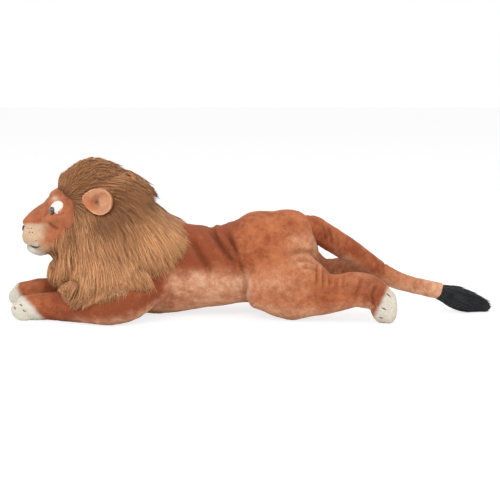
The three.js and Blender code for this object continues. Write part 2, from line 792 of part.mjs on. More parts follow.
const tailAlong = new THREE.Vector3().subVectors(tailStations[1].at, tailStations[0].at).normalize();
const tail = layers(tailStations, { crown: tailCrownShare * tailEndRadius, sides: sidesOfTrim });
const tailFront = seam(tailPivot, tailAlong);
const rootRadius = tailRootRadius - coverWall;
const tailRootBall = ball(tailPivot, rootRadius, sidesOfLimb);
const tailRootSeat = ball(tailPivot, rootRadius + ballGap, sidesOfLimb);
const liftAxis = new THREE.Vector3(0, -1, 0);
const tailBack = cutBy(tail.swelled, tailFront.behind);
const tailPath = swept(
  swept(tailBack, tailPivot, liftAxis, 0, tailLift, 3), tailPivot, upright, -tailSwing, tailSwing, 2);
const tailSwingGroup = bodyAt(tailPivot, trunk, 'tail_root');
piece('tail_root', tailRootBall, finish.rust, tailSwingGroup);
const tailGroup = bodyAt(tailPivot, tailSwingGroup, 'tail');
const tailCover = cutBy(tail.outer.subtract(tail.hollow), tailFront.behind, tailRootSeat);
piece('tail_cover', tailCover, finish.rust, tailGroup);
piece('tail_stuffing', cutBy(tail.core, tailFront.behind, tailRootSeat), finish.stuffing, tailGroup);
const tuftGroup = bodyAt(tuftPivot, tailGroup, 'tuft');
const tailEnd = stuffed(tailStations.slice(-2), {
  crown: tailCrownShare * tailEndRadius, sides: sidesOfTrim, grow: ballGap });
const tailEndPath = swept(tailEnd, tuftPivot, upright, -tuftSway, tuftSway, 4);
const tuft = stuffed(tuftStations, tuftEnds);
piece('tail_tuft', cutBy(tuft, tailEndPath, underFloor), finish.black, tuftGroup);

// Trunk

const trunkCuts = [...legPaths, underFloor];
piece('torso_cover', cutBy(
  torso.outer.subtract(torso.hollow), waistSeam.behind, neckSeam.before, ...trunkCuts), finish.rust, trunk);
piece('torso_stuffing', cutBy(
  torso.core, waistSeam.behind, neckSeam.before, ...stuffingCuts), finish.stuffing, trunk);
piece('rump_cover', cutBy(
  rump.outer.subtract(rump.hollow), waistSeam.before, tailPath, tailRootSeat, ...trunkCuts), finish.rust, trunk);
const tailRootSpace = ball(tailPivot, tailRootRadius + stuffingClearance, sidesOfTrim);
piece('rump_stuffing', cutBy(
  rump.core, waistSeam.before, tailRootSpace, ...stuffingCuts), finish.stuffing, trunk);

// Head

const headGroup = bodyAt(neck, trunk, 'head');
const earPath = (side, solid) => swept(solid, earRoot(side), earAxis(side), -earFold, earFold, 1);
const earSeats = Object.values(sides).map((side) => earPath(side, earStalk(side, sweepGap)));
const earRecesses = Object.values(sides).map((side) => earPath(side, earWhole(side, earClearance)));
const eyeSeats = Object.values(sides).flatMap((side) => [eyeForm(side, seamGap), washerForm(side, seamGap)]);
const faceCuts = [neckSeam.behind, ...earSeats, ...eyeSeats];
piece('head_cover', cutBy(headOuter.subtract(headHollow), ...faceCuts), finish.rust, headGroup);
piece('head_stuffing', cutBy(headCore, ...faceCuts), finish.stuffing, headGroup);
const nose = cutBy(noseForm(0), headGrown);
piece('nose', nose, finish.nose, headGroup);
const muzzleCuts = [headGrown, noseForm(seamGap)];
piece('muzzle', cutBy(muzzleForm(0), ...muzzleCuts), finish.cream, headGroup);
piece('chin', cutBy(chinForm(0), headGrown, muzzleForm(seamGap)), finish.white, headGroup);
for (const [word, side] of Object.entries(sides)) {
  piece(`eye_${word}`, eyeForm(side, 0), finish.eye, headGroup);
  piece(`eye_washer_${word}`, washerForm(side, 0), finish.washer, headGroup);
  piece(`eye_patch_${word}`, cutBy(
    patchForm(side, 0), headGrown, eyeForm(side, seamGap)), finish.white, headGroup);
  const earGroup = bodyAt(earRoot(side), headGroup, `ear_${word}`);
  const earBack = earWhole(side, 0).subtract(earHollow(side));
  const earLiningForm = earHollow(side, seamGap)
    .intersect(earLens(side, 0, 0))
    .subtract(earHollow(side, earLining));
  piece(`ear_back_${word}`, mainBody(earBack), finish.rust, earGroup);
  piece(`ear_lining_${word}`, mainBody(earLiningForm), finish.pink, earGroup);
}

// Mane

piece('mane_hood', cutBy(
  maneForm.add(beardForm), neckSeam.behind, headGrown, muzzleForm(seamGap), chinForm(seamGap),
  patchForm(-1, seamGap), patchForm(1, seamGap), ...pileCuts, ...earRecesses), finish.tan, headGroup);
piece('mane_cape', cutBy(
  maneForm, neckSeam.before, torso.grown, headGrown, ...forelegPaths), finish.tan, trunk);

// The middle of the toy's length stands over the origin.
const extent = new THREE.Box3().setFromObject(lion);
lion.position.x = -(extent.min.x + extent.max.x) / 2;

export default lion;
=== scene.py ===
import json
import math

import bpy
import numpy as np
from bpy.props import FloatProperty, FloatVectorProperty, IntProperty, PointerProperty
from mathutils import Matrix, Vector
from mathutils.bvhtree import BVHTree


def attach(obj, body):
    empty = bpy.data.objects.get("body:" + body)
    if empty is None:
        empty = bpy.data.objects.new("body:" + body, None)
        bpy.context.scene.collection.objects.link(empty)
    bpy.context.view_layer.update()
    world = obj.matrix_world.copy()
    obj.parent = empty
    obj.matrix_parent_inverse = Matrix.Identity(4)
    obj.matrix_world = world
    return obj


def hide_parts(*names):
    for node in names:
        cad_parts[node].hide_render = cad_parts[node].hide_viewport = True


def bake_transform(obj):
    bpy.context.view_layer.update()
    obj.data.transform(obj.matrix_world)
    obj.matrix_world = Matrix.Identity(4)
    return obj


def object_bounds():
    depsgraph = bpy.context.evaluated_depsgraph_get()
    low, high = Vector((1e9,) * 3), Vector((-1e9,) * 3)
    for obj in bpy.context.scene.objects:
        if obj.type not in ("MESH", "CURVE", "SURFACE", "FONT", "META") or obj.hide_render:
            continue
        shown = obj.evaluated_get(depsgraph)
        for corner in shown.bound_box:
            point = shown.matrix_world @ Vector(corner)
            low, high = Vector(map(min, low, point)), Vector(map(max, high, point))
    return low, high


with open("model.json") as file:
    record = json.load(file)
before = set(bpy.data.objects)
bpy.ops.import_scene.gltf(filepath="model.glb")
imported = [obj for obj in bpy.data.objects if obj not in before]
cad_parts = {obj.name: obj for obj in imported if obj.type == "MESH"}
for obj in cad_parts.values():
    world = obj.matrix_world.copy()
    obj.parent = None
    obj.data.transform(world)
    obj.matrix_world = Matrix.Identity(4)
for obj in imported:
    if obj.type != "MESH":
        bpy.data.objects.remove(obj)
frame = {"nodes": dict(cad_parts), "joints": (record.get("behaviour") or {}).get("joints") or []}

bl_info = {
    "name": "Plush Lion",
    "version": (1, 0, 0),
    "blender": (4, 5, 0),
    "location": "View3D > Sidebar > Plush Lion",
    "description": "A large stuffed toy lion that lies with its limbs stretched out",
    "category": "Add Mesh",
}

CAD_BOX = [[float(c) for c in corner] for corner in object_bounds()]
HINGES = {j["name"]: np.array(j["pos_m"], float) for j in frame["joints"]}
HEAD_AXIS = next(np.array(j["axis"], float) for j in frame["joints"] if j["name"] == "head_turn")
SIDES = {"left": -1.0, "right": 1.0}
UP = np.array([0.0, 0.0, 1.0])
BACK = np.array([1.0, 0.0, 0.0])


def size(name, description, default):
    return FloatProperty(name=name, description=description, default=default, unit="LENGTH")


class LionSizes(bpy.types.PropertyGroup):
    """Sizes of the sewn forms, as in the solids that they cover."""

    torso_length: size("Torso length", "Waist seam to neck seam", 0.350)
    torso_height: size("Torso height", "Height of the chest", 0.220)
    torso_width: size("Torso width", "Width of the waist", 0.208)
    rump_length: size("Rump length", "Waist seam to tail root", 0.185)
    rump_height: size("Rump height", "Height of the hips", 0.225)
    rump_width: size("Rump width", "Width of the hips", 0.220)
    head_length: size("Head length", "Back of the skull to the nose", 0.222)
    head_height: size("Head height", "Height of the skull", 0.184)
    head_width: size("Head width", "Width of the skull", 0.176)
    foreleg_length: size("Foreleg length", "Shoulder to paw", 0.339)
    foreleg_height: size("Foreleg height", "Height of the upper arm", 0.100)
    foreleg_width: size("Foreleg width", "Width of the upper arm", 0.088)
    hindleg_length: size("Hind leg length", "Thigh to ankle", 0.295)
    hindleg_height: size("Hind leg height", "Height of the thigh", 0.165)
    hindleg_width: size("Hind leg width", "Width of the thigh", 0.120)
    tail_length: size("Tail length", "Root to tuft along the floor", 0.318)
    tuft_length: size("Tuft length", "Length of the tuft", 0.142)
    mane_length: size("Mane length", "Front to back of the mane", 0.318)
    mane_height: size("Mane height", "Height of the mane", 0.336)
    mane_width: size("Mane width", "Width of the mane", 0.316)
    ear_width: size("Ear width", "Width of the ear cup", 0.066)
    eye_radius: size("Eye radius", "Radius of the eye dome", 0.0118)
    pile_length: size("Mane pile length", "Length of the mane's hair", 0.072)
    stitch_radius: size("Stitch radius", "Thickness of the claw and mouth stitches", 0.0012)
    mane_locks: IntProperty(name="Mane locks", description="Locks of hair in the mane", default=56000, min=1000)
    tuft_locks: IntProperty(name="Tuft locks", description="Locks of hair in the tail tuft", default=6400, min=100)


def colour(name, description, default):
    return FloatVectorProperty(name=name, description=description, default=default, subtype="COLOR",
                               size=3, min=0, max=1)


class LionColours(bpy.types.PropertyGroup):
    """Colours of the pile fabrics, threads and plastics, in linear light."""

    rust: colour("Rust pile", "Main colour of the short pile", (0.47, 0.155, 0.062))
    # Deep rust also makes the painted shade: creases and hollows darken towards a third of it.
    deep: colour("Deep rust", "Darker patches of the pile", (0.26, 0.064, 0.025))
    pale: colour("Pale pile", "Belly and inner thighs", (0.55, 0.26, 0.145))
    light: colour("Pale blotches", "Lightest blotches of the belly", (0.67, 0.38, 0.235))
    toe: colour("Toe white", "White toes", (0.66, 0.62, 0.53))
    cream: colour("Cream pile", "Muzzle and brows", (0.58, 0.41, 0.275))
    face: colour("Face rust", "Nose bridge and cheeks", (0.50, 0.165, 0.075))
    pink: colour("Ear pink", "Ear lining", (0.72, 0.38, 0.22))
    tan: colour("Mane tan", "Middle of the mane's hair", (0.48, 0.222, 0.092))
    tan_dark: colour("Mane shade", "Roots of the mane's hair", (0.25, 0.10, 0.038))
    tan_light: colour("Mane light", "Lightest hair of the mane", (0.88, 0.46, 0.215))
    black: colour("Tuft black", "Hair of the tail tuft", (0.0125, 0.013, 0.0155))
    thread: colour("Stitch thread", "Claws, whisker dots and mouth", (0.010, 0.009, 0.009))
    eye: colour("Eye", "Polished dome of the eye", (0.018, 0.010, 0.007))


def sizes():
    return bpy.context.scene.lion_sizes


def colours():
    return bpy.context.scene.lion_colours


# Arithmetic on whole arrays


def unit(v):
    """Vectors divided by their lengths."""
    return v / np.maximum(np.linalg.norm(v, axis=-1, keepdims=True), 1e-9)


def rise(a, b, x):
    """Smooth step: 0 up to a, 1 from b on, and 3t^2 - 2t^3 between them. b may lie below a."""
    t = np.clip((np.asarray(x, float) - a) / (b - a), 0, 1)
    return t * t * (3 - 2 * t)


def bell(x, middle, width):
    """Bell curve: 1 at its middle, and e^-1 a width away."""
    return np.exp(-(((x - middle) / width) ** 2))


def drift(points, size, seed=0.0):
    """Smooth noise from -1 to 1: hashed values on a lattice of that cell size, blended by a smooth step."""
    q = points / size + 31.7 + seed * 7.13
    cell = np.floor(q).astype(np.int64)
    f = q - cell
    f = f * f * (3 - 2 * f)
    total = np.zeros(len(points))
    for corner in range(8):
        step = np.array([corner & 1, corner >> 1 & 1, corner >> 2 & 1])
        c = cell + step
        h = (c[:, 0] * 73856093) ^ (c[:, 1] * 19349663) ^ (c[:, 2] * 83492791)
        h = ((h ^ (h >> 13)) * 1274126177) & 0xFFFFFFFF
        h = (h ^ (h >> 16)) & 0xFFFF
        total += np.prod(np.where(step, f, 1 - f), axis=1) * (h / 32767.5 - 1)
    return total


def table_at(table, x):
    """The value at x on the straight lines between a table's rows of x and value."""
    return np.interp(x, *np.array(table, float).T)


def around(count):
    """Angles of a full turn in equal steps."""
    return np.linspace(0, 2 * math.pi, count, endpoint=False)


def along_curve(rows, t):
    """Catmull-Rom curve through the rows: values and slopes at t from 0 to 1."""
    rows = np.asarray(rows, float)
    last = len(rows) - 1
    knots = np.vstack([2 * rows[0] - rows[1], rows, 2 * rows[-1] - rows[-2]])
    s = np.clip(t, 0, 1) * last
    i = np.minimum(s.astype(int), last - 1)
    f = (s - i)[:, None]
    a, b, c, d = (knots[i + k] for k in range(4))
    p, q, r = c - a, 2 * a - 5 * b + 4 * c - d, 3 * b - 3 * c + d - a
    return 0.5 * (2 * b + p * f + q * f * f + r * f ** 3), 0.5 * (p + 2 * q * f + 3 * r * f * f)


CAP_RINGS = 8


def stuffed(stations, crown, rings=72, sides=56):
    """A stuffed form as points and faces. Each row of stations is x, y, z, half-height, half-width.
    A point is the spine's point plus cos a half-widths sideways and sin a half-heights up, square
    to the spine, and both ends close in a quarter ellipse of length crown."""
    value, slope = along_curve(stations, np.linspace(0, 1, rings))
    along = unit(slope[:, :3])
    bend = np.linspace(0, math.pi / 2, CAP_RINGS + 2)[1:-1, None]
    start = value[0, :3] - along[0] * crown * np.sin(bend[::-1])
    finish = value[-1, :3] + along[-1] * crown * np.sin(bend)
    centre = np.vstack([start, value[:, :3], finish])
    along = np.vstack([np.repeat(along[:1], CAP_RINGS, 0), along, np.repeat(along[-1:], CAP_RINGS, 0)])
    size = np.vstack([value[0, 3:] * np.cos(bend[::-1]), value[:, 3:], value[-1, 3:] * np.cos(bend)])
    aside = unit(np.cross(along, UP))
    over = unit(np.cross(aside, along))
    angle = around(sides)
    grid = (centre[:, None] + np.cos(angle)[None, :, None] * size[:, None, 1:] * aside[:, None]
            + np.sin(angle)[None, :, None] * size[:, None, :1] * over[:, None])
    poles = np.array([value[0, :3] - along[0] * crown, value[-1, :3] + along[-1] * crown])
    return closed_tube(grid, poles)


def closed_tube(grid, poles):
    """Points and faces of a grid of rings closed round and capped by a fan at each end."""
    rings, sides = grid.shape[:2]
    points = np.vstack([poles, grid.reshape(-1, 3)])
    j = np.arange(sides)
    k = (j + 1) % sides
    base = 2 + np.arange(rings - 1)[:, None] * sides
    quads = np.stack([base + j, base + sides + j, base + sides + k, base + k], -1).reshape(-1, 4)
    top = 2 + (rings - 1) * sides
    tris = np.vstack([np.stack([0 * j, 2 + j, 2 + k], -1), np.stack([0 * j + 1, top + k, top + j], -1)])
    return points, [quads, tris]


def ellipsoid(centre, radii, turn=0.0, sides=40):
    """A closed ellipsoid, turned about Y by an angle: rings of latitude scaled along each axis."""
    lat = np.linspace(-math.pi / 2, math.pi / 2, sides // 2 + 1)[1:-1, None]
    lon = around(sides)[None]
    ball = np.stack([np.sin(lat) + 0 * lon, np.cos(lat) * np.cos(lon), np.cos(lat) * np.sin(lon)], -1)
    poles = np.array([[-1.0, 0, 0], [1.0, 0, 0]])
    c, s = math.cos(turn), math.sin(turn)
    matrix = np.array([[c, 0, s], [0, 1, 0], [-s, 0, c]])
    place = lambda p: (p * np.asarray(radii)) @ matrix.T + np.asarray(centre)
    return closed_tube(place(ball), place(poles))


# Meshes and objects


def mesh_of(name, points, faces, smooth=True):
    """A mesh object from an array of points and arrays of faces with 3 or 4 corners."""
    mesh = bpy.data.meshes.new(name)
    mesh.vertices.add(len(points))
    mesh.vertices.foreach_set("co", np.ascontiguousarray(points, np.float32).ravel())
    corners = np.concatenate([f.ravel() for f in faces]).astype(np.int32)
    counts = np.concatenate([np.full(len(f), f.shape[1]) for f in faces])
    mesh.loops.add(len(corners))
    mesh.loops.foreach_set("vertex_index", corners)
    mesh.polygons.add(len(counts))
    mesh.polygons.foreach_set("loop_start", np.concatenate([[0], np.cumsum(counts)[:-1]]).astype(np.int32))
    mesh.update(calc_edges=True)
    mesh.validate()
    mesh.polygons.foreach_set("use_smooth", np.full(len(mesh.polygons), smooth))
    obj = bpy.data.objects.new(name, mesh)
    bpy.context.scene.collection.objects.link(obj)
    return obj


def read(rows, name, width, kind=np.float32):
    """One property of all the points, edges, faces or corners of a mesh."""
    values = np.empty(len(rows) * width, kind)
    rows.foreach_get(name, values)
    return values.reshape(-1, width)


def points_of(obj):
    return read(obj.data.vertices, "co", 3).astype(float)


def normals_of(obj):
    return read(obj.data.vertices, "normal", 3).astype(float)


def edges_of(obj):
    return read(obj.data.edges, "vertices", 2, np.int32)


def faces_of(obj):
    """The faces of a mesh with four corners and those with three, as two arrays."""
    mesh = obj.data
    starts, totals = (read(mesh.polygons, name, 1, np.int32)[:, 0] for name in ("loop_start", "loop_total"))
    corners = read(mesh.loops, "vertex_index", 1, np.int32)[:, 0]
    return [corners[starts[totals == size][:, None] + np.arange(size)] for size in (4, 3)]


def move_points(obj, points):
    obj.data.vertices.foreach_set("co", points.astype(np.float32).ravel())
    obj.data.update()


def relaxed(points, ends, rounds, weight):
    """Each point moved towards the mean of its neighbours, by its weight, in rounds."""
    n = len(points)
    a, b = ends.T
    count = np.maximum(np.bincount(ends.ravel(), minlength=n), 1)[:, None]
    weight = np.broadcast_to(np.asarray(weight, float), (n,))[:, None]
    for _ in range(rounds):
        total = [np.bincount(a, points[b, k], n) + np.bincount(b, points[a, k], n) for k in range(3)]
        points = points + weight * (np.stack(total, 1) / count - points)
    return points


def sewn(name, forms, voxel, rounds=6):
    """One skin round closed forms that run into each other: voxel remeshed, then its steps smoothed
    by rounds that shrink and swell it in turn."""
    points, quads, tris, start = [], [], [], 0
    for p, (q, t) in forms:
        points.append(p)
        quads.append(q + start)
        tris.append(t + start)
        start += len(p)
    rough = mesh_of(name + "_forms", np.vstack(points), [np.vstack(quads), np.vstack(tris)])
    remesh = rough.modifiers.new("Skin", "REMESH")
    remesh.mode = "VOXEL"
    remesh.voxel_size = voxel
    remesh.use_smooth_shade = True
    bpy.context.view_layer.update()
    mesh = bpy.data.meshes.new_from_object(rough.evaluated_get(bpy.context.evaluated_depsgraph_get()))
    mesh.name = name
    bpy.data.objects.remove(rough)
    obj = bpy.data.objects.new(name, mesh)
    bpy.context.scene.collection.objects.link(obj)
    mesh.polygons.foreach_set("use_smooth", np.full(len(mesh.polygons), True))
    points, ends = points_of(obj), edges_of(obj)
    for _ in range(rounds):
        points = relaxed(relaxed(points, ends, 1, 0.6), ends, 1, -0.62)
    move_points(obj, points)
    return obj


def cut_out(obj, name, keep):
    """A new object with the faces whose points all pass `keep`, an array of true and false."""
    points = points_of(obj)
    used = np.zeros(len(points), bool)
    faces = []
    for face in reversed(faces_of(obj)):
        face = face[keep[face].all(axis=1)]
        used[face.ravel()] = True
        faces.append(face)
    index = np.cumsum(used) - 1
    return mesh_of(name, points[used], [index[f] for f in faces]), used


def attribute(obj, name, values):
    data = obj.data.attributes.new(name, "FLOAT", "POINT")
    data.data.foreach_set("value", np.broadcast_to(values, (len(obj.data.vertices),)).astype(np.float32))


def toned(obj, **shares):
    """Stores the shares that the pile fabric reads, 0 where a piece gives none."""
    for name in ("pale", "dusk", "toe", "shade"):
        attribute(obj, name, shares.get(name, 0.0))


def surface_tree(obj):
    """The mesh as a tree that finds the nearest place on it."""
    mesh = obj.data
    return BVHTree.FromPolygons([v.co for v in mesh.vertices], [p.vertices for p in mesh.polygons])


def sighted(tree, places, side, proud=0.0, shift=0.0):
    """Where the camera's sight lines through picture places meet a surface, raised by `proud`.
    `shift` is added to their columns. For the far side the lines come from the mirrored camera."""
    flip = np.array([1, -side, 1])
    origin = VIEW_MIDDLE - VIEW_FORWARD * CAMERA_DISTANCE
    rows = []
    for u, v in places:
        u, v = (np.array([u + shift, v]) / FRAME_WIDTH - 0.5) * VIEW_WIDTH / CAMERA_DISTANCE
        aim = VIEW_FORWARD + u * BACK - v * VIEW_OVER
        hit, normal, _, _ = tree.ray_cast(Vector(origin * flip), Vector(aim * flip).normalized())
        if hit is None:
            beside = origin + unit(aim) * (CAMERA_DISTANCE - 0.09)
            hit, normal, _, _ = tree.find_nearest(Vector(beside * flip))
        rows.append(hit + normal * proud)
    return np.array(rows)


def laid_on(tree, points):
    """Each of a few points moved to the nearest place on a surface, and the normals there."""
    rows = []
    for p in points:
        place, normal, _, _ = tree.find_nearest(Vector(p))
        rows.append([*place, *normal])
    rows = np.array(rows)
    return rows[:, :3], rows[:, 3:]


def finished(obj, material, body, nodes=()):
    """Gives a piece its material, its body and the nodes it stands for."""
    obj.data.materials.clear()
    obj.data.materials.append(material)
    if body:
        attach(obj, body)
    if nodes:
        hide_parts(*nodes)
    return obj


# The side view, in which creases and patches are placed

CAMERA_DISTANCE = 4.0
CAMERA_RISE = math.radians(10)
VIEW_WIDTH = 1.25
VIEW_MIDDLE = np.array([0.00125, 0.0, 0.1574])
FRAME_WIDTH = 500
VIEW_FORWARD = np.array([0, math.cos(CAMERA_RISE), -math.sin(CAMERA_RISE)])
VIEW_OVER = np.array([0, math.sin(CAMERA_RISE), math.cos(CAMERA_RISE)])


def side_view(points):
    """Columns and rows of points as the camera sees them, with the far side mirrored to the near."""
    rel = points * [1, 0, 1] - np.abs(points) * [0, 1, 0] - VIEW_MIDDLE
    scale = FRAME_WIDTH / VIEW_WIDTH * CAMERA_DISTANCE / (CAMERA_DISTANCE + rel @ VIEW_FORWARD)
    return np.stack([FRAME_WIDTH / 2 + rel[:, 0] * scale, FRAME_WIDTH / 2 - (rel @ VIEW_OVER) * scale], -1)


def apart(seen, line):
    """Distance of seen places from a line of corners, and the share along it of the nearest place."""
    line = np.asarray(line, float)
    lengths = np.linalg.norm(np.diff(line, axis=0), axis=1)
    ends = np.concatenate([[0], np.cumsum(lengths)]) / lengths.sum()
    best = np.full(len(seen), np.inf)
    share = np.zeros(len(seen))
    for i, (a, b) in enumerate(zip(line[:-1], line[1:])):
        t = np.clip(((seen - a) @ (b - a)) / ((b - a) @ (b - a)), 0, 1)
        d = np.linalg.norm(seen - a - t[:, None] * (b - a), axis=1)
        near = d < best
        best = np.where(near, d, best)
        share = np.where(near, ends[i] + t * (ends[i + 1] - ends[i]), share)
    return best, share


def creased(seen, lines):
    """Depths of creases at seen places. Each line has corners, a width and a depth. A crease is a
    groove of a bell shape, shallow at its ends, with a low roll of cloth beside it."""
    depth = np.zeros(len(seen))
    for line, width, deep in lines:
        d, share = apart(seen, line)
        fade = rise(0, 0.22, share) * rise(1, 0.78, share) + 0.18
        depth += deep * fade * (bell(d, 0, width) - 0.42 * bell(d, 2.1 * width, 0.95 * width))
    return depth


# Stations of the sewn forms, as shares of their sizes

TORSO = [(-0.14, 0.640, 0.500, 0.520), (0.00, 0.597, 0.498, 0.510), (0.14, 0.534, 0.452, 0.490),
         (0.29, 0.525, 0.471, 0.510), (0.47, 0.520, 0.518, 0.550), (0.65, 0.545, 0.5475, 0.580),
         (0.84, 0.620, 0.540, 0.560), (1.00, 0.773, 0.460, 0.470), (1.12, 0.925, 0.400, 0.410)]
RUMP = [(-0.16, 0.540, 0.440, 0.450), (0.00, 0.582, 0.489, 0.488), (0.27, 0.627, 0.509, 0.510),
        (0.54, 0.682, 0.471, 0.505), (0.81, 0.756, 0.364, 0.445), (0.90, 0.782, 0.302, 0.380)]
FORELEG = [(0.000, 1.00, 0.00, 0.00, 0.30, 0.55, 0.56), (0.118, 0.40, 0.60, 0.00, 0.04, 0.60, 0.61),
           (0.230, 0.00, 1.00, 0.00, 0.00, 0.50, 0.50), (0.392, 0.00, 0.72, 0.28, 0.00, 0.43, 0.48),
           (0.555, 0.00, 0.30, 0.70, 0.00, 0.38, 0.43), (0.687, 0.00, 0.06, 0.94, 0.00, 0.35, 0.40),
           (0.805, 0.00, 0.00, 1.00, 0.00, 0.33, 0.45), (0.910, 0.00, 0.00, 0.98, 0.00, 0.30, 0.42)]
HINDLEG = [(0.00, 0.558, 0.400, 0.417), (0.15, 0.545, 0.485, 0.475), (0.36, 0.494, 0.497, 0.467),
           (0.56, 0.418, 0.321, 0.383), (0.685, 0.436, 0.273, 0.350), (0.81, 0.491, 0.261, 0.342),
           (0.91, 0.467, 0.255, 0.333), (1.00, 0.400, 0.218, 0.308)]
SKULL = [(0.00, 0.010, 0.270, 0.284), (0.135, 0.000, 0.424, 0.432), (0.306, -0.027, 0.500, 0.511),
         (0.440, -0.064, 0.492, 0.500), (0.540, -0.094, 0.466, 0.470), (0.610, -0.114, 0.436, 0.438),
         (0.665, -0.124, 0.405, 0.395), (0.715, -0.124, 0.352, 0.335)]
BRIDGE = [(0.00, 0.950, 0.650, 0.60), (0.40, 0.625, 0.550, 0.52), (0.80, 0.225, 0.325, 0.45),
          (0.94, 0.125, 0.200, 0.36)]
MUZZLE = [(-0.45, 0.05, 0.52, 0.30), (0.00, 0.00, 0.50, 0.29), (0.36, 0.05, 0.40, 0.23)]
TAIL = [(0.00, 1.000, 1.00), (0.25, 0.766, 0.97), (0.41, 0.601, 0.70), (0.57, 0.442, 0.40),
        (0.76, 0.333, 0.13), (1.00, 0.249, 0.00)]
TUFT = [(0.00, 1.00, 0.67, 0.67), (0.13, 0.91, 0.82, 0.80), (0.33, 0.72, 0.98, 1.00),
        (0.60, 0.50, 0.82, 0.85), (0.80, 0.34, 0.55, 0.55), (0.92, 0.24, 0.37, 0.36)]
MANE = [(0.010, 0.560, 0.106, 0.260), (0.157, 0.560, 0.205, 0.386), (0.292, 0.556, 0.308, 0.449),
        (0.450, 0.558, 0.452, 0.475), (0.629, 0.580, 0.523, 0.500), (0.770, 0.585, 0.520, 0.470),
        (0.830, 0.585, 0.498, 0.400), (0.865, 0.580, 0.465, 0.320)]
CURTAIN = [(0.026, 0.004), (0.052, 0.010), (0.078, 0.018)]
DRAPE = [(-0.270, 0.112, 0.128, 0.030, 0.036), (-0.330, 0.116, 0.112, 0.034, 0.040),
         (-0.395, 0.112, 0.092, 0.028, 0.038), (-0.450, 0.104, 0.074, 0.018, 0.026)]
BEARD = [(0.15, 0.754, 0.490, 0.484), (0.50, 0.785, 0.460, 0.442), (0.82, 0.846, 0.340, 0.326)]

HIP_SHARE = 0.43
THIGH_SHARE = 0.23
SHOULDER_SPREAD, ELBOW_SPREAD, FOREPAW_SPREAD = 0.100, 0.148, 0.088
HIP_SPREAD, HINDFOOT_SPREAD = 0.080, 0.124
FOREPAW_LEAD = 0.017
FLOOR_SINK = 0.0012


def waist_x():
    return HINGES["hip_left"][0] - HIP_SHARE * sizes().rump_length


def on_floor(stations):
    """Stations lowered or raised so that the form's lowest point is just under the floor."""
    stations = np.array(stations, float)
    value, _ = along_curve(stations, np.linspace(0, 1, 60))
    stations[:, 2] -= (value[:, 2] - value[:, 3]).min() + FLOOR_SINK
    return stations


def torso_stations():
    s = sizes()
    return on_floor([(waist_x() - a * s.torso_length, 0, m * s.torso_height, h * s.torso_height, w * s.torso_width)
                     for a, m, h, w in TORSO])


def rump_stations():
    s = sizes()
    return [(waist_x() + a * s.rump_length, 0, m * s.rump_height, h * s.rump_height, w * s.rump_width)
            for a, m, h, w in RUMP]


def foreleg_reach(side):
    return sizes().foreleg_length + side * FOREPAW_LEAD


def paw_shift(side):
    """Picture columns by which a forepaw reaches past the near one: 0 for the near one itself."""
    return FRAME_WIDTH / VIEW_WIDTH * FOREPAW_LEAD * (1 + side)


def foreleg_stations(side):
    s = sizes()
    root = HINGES["shoulder_left" if side < 0 else "shoulder_right"][0]
    return on_floor([(root - a * foreleg_reach(side),
                      side * (sh * SHOULDER_SPREAD + el * ELBOW_SPREAD + pa * FOREPAW_SPREAD),
                      (lift + h) * s.foreleg_height, h * s.foreleg_height, w * s.foreleg_width)
                     for a, sh, el, pa, lift, h, w in FORELEG])


def hindleg_stations(side):
    s = sizes()
    root = waist_x() + THIGH_SHARE * s.rump_length
    return on_floor([(root + a * s.hindleg_length, side * (HIP_SPREAD + (HINDFOOT_SPREAD - HIP_SPREAD) * a),
                      m * s.hindleg_height, h * s.hindleg_height, w * s.hindleg_width) for a, m, h, w in HINDLEG])


def hindfoot_place(side):
    s = sizes()
    heel = waist_x() + THIGH_SHARE * s.rump_length + 1.04 * s.hindleg_length
    return np.array([heel, side * HINDFOOT_SPREAD, 0.0435])


def skull_start():
    """Back of the skull and its middle height."""
    return HINGES["head_turn"] + [0.030, 0, 0.076]


def nose_tip_x():
    return skull_start()[0] - sizes().head_length


# Materials


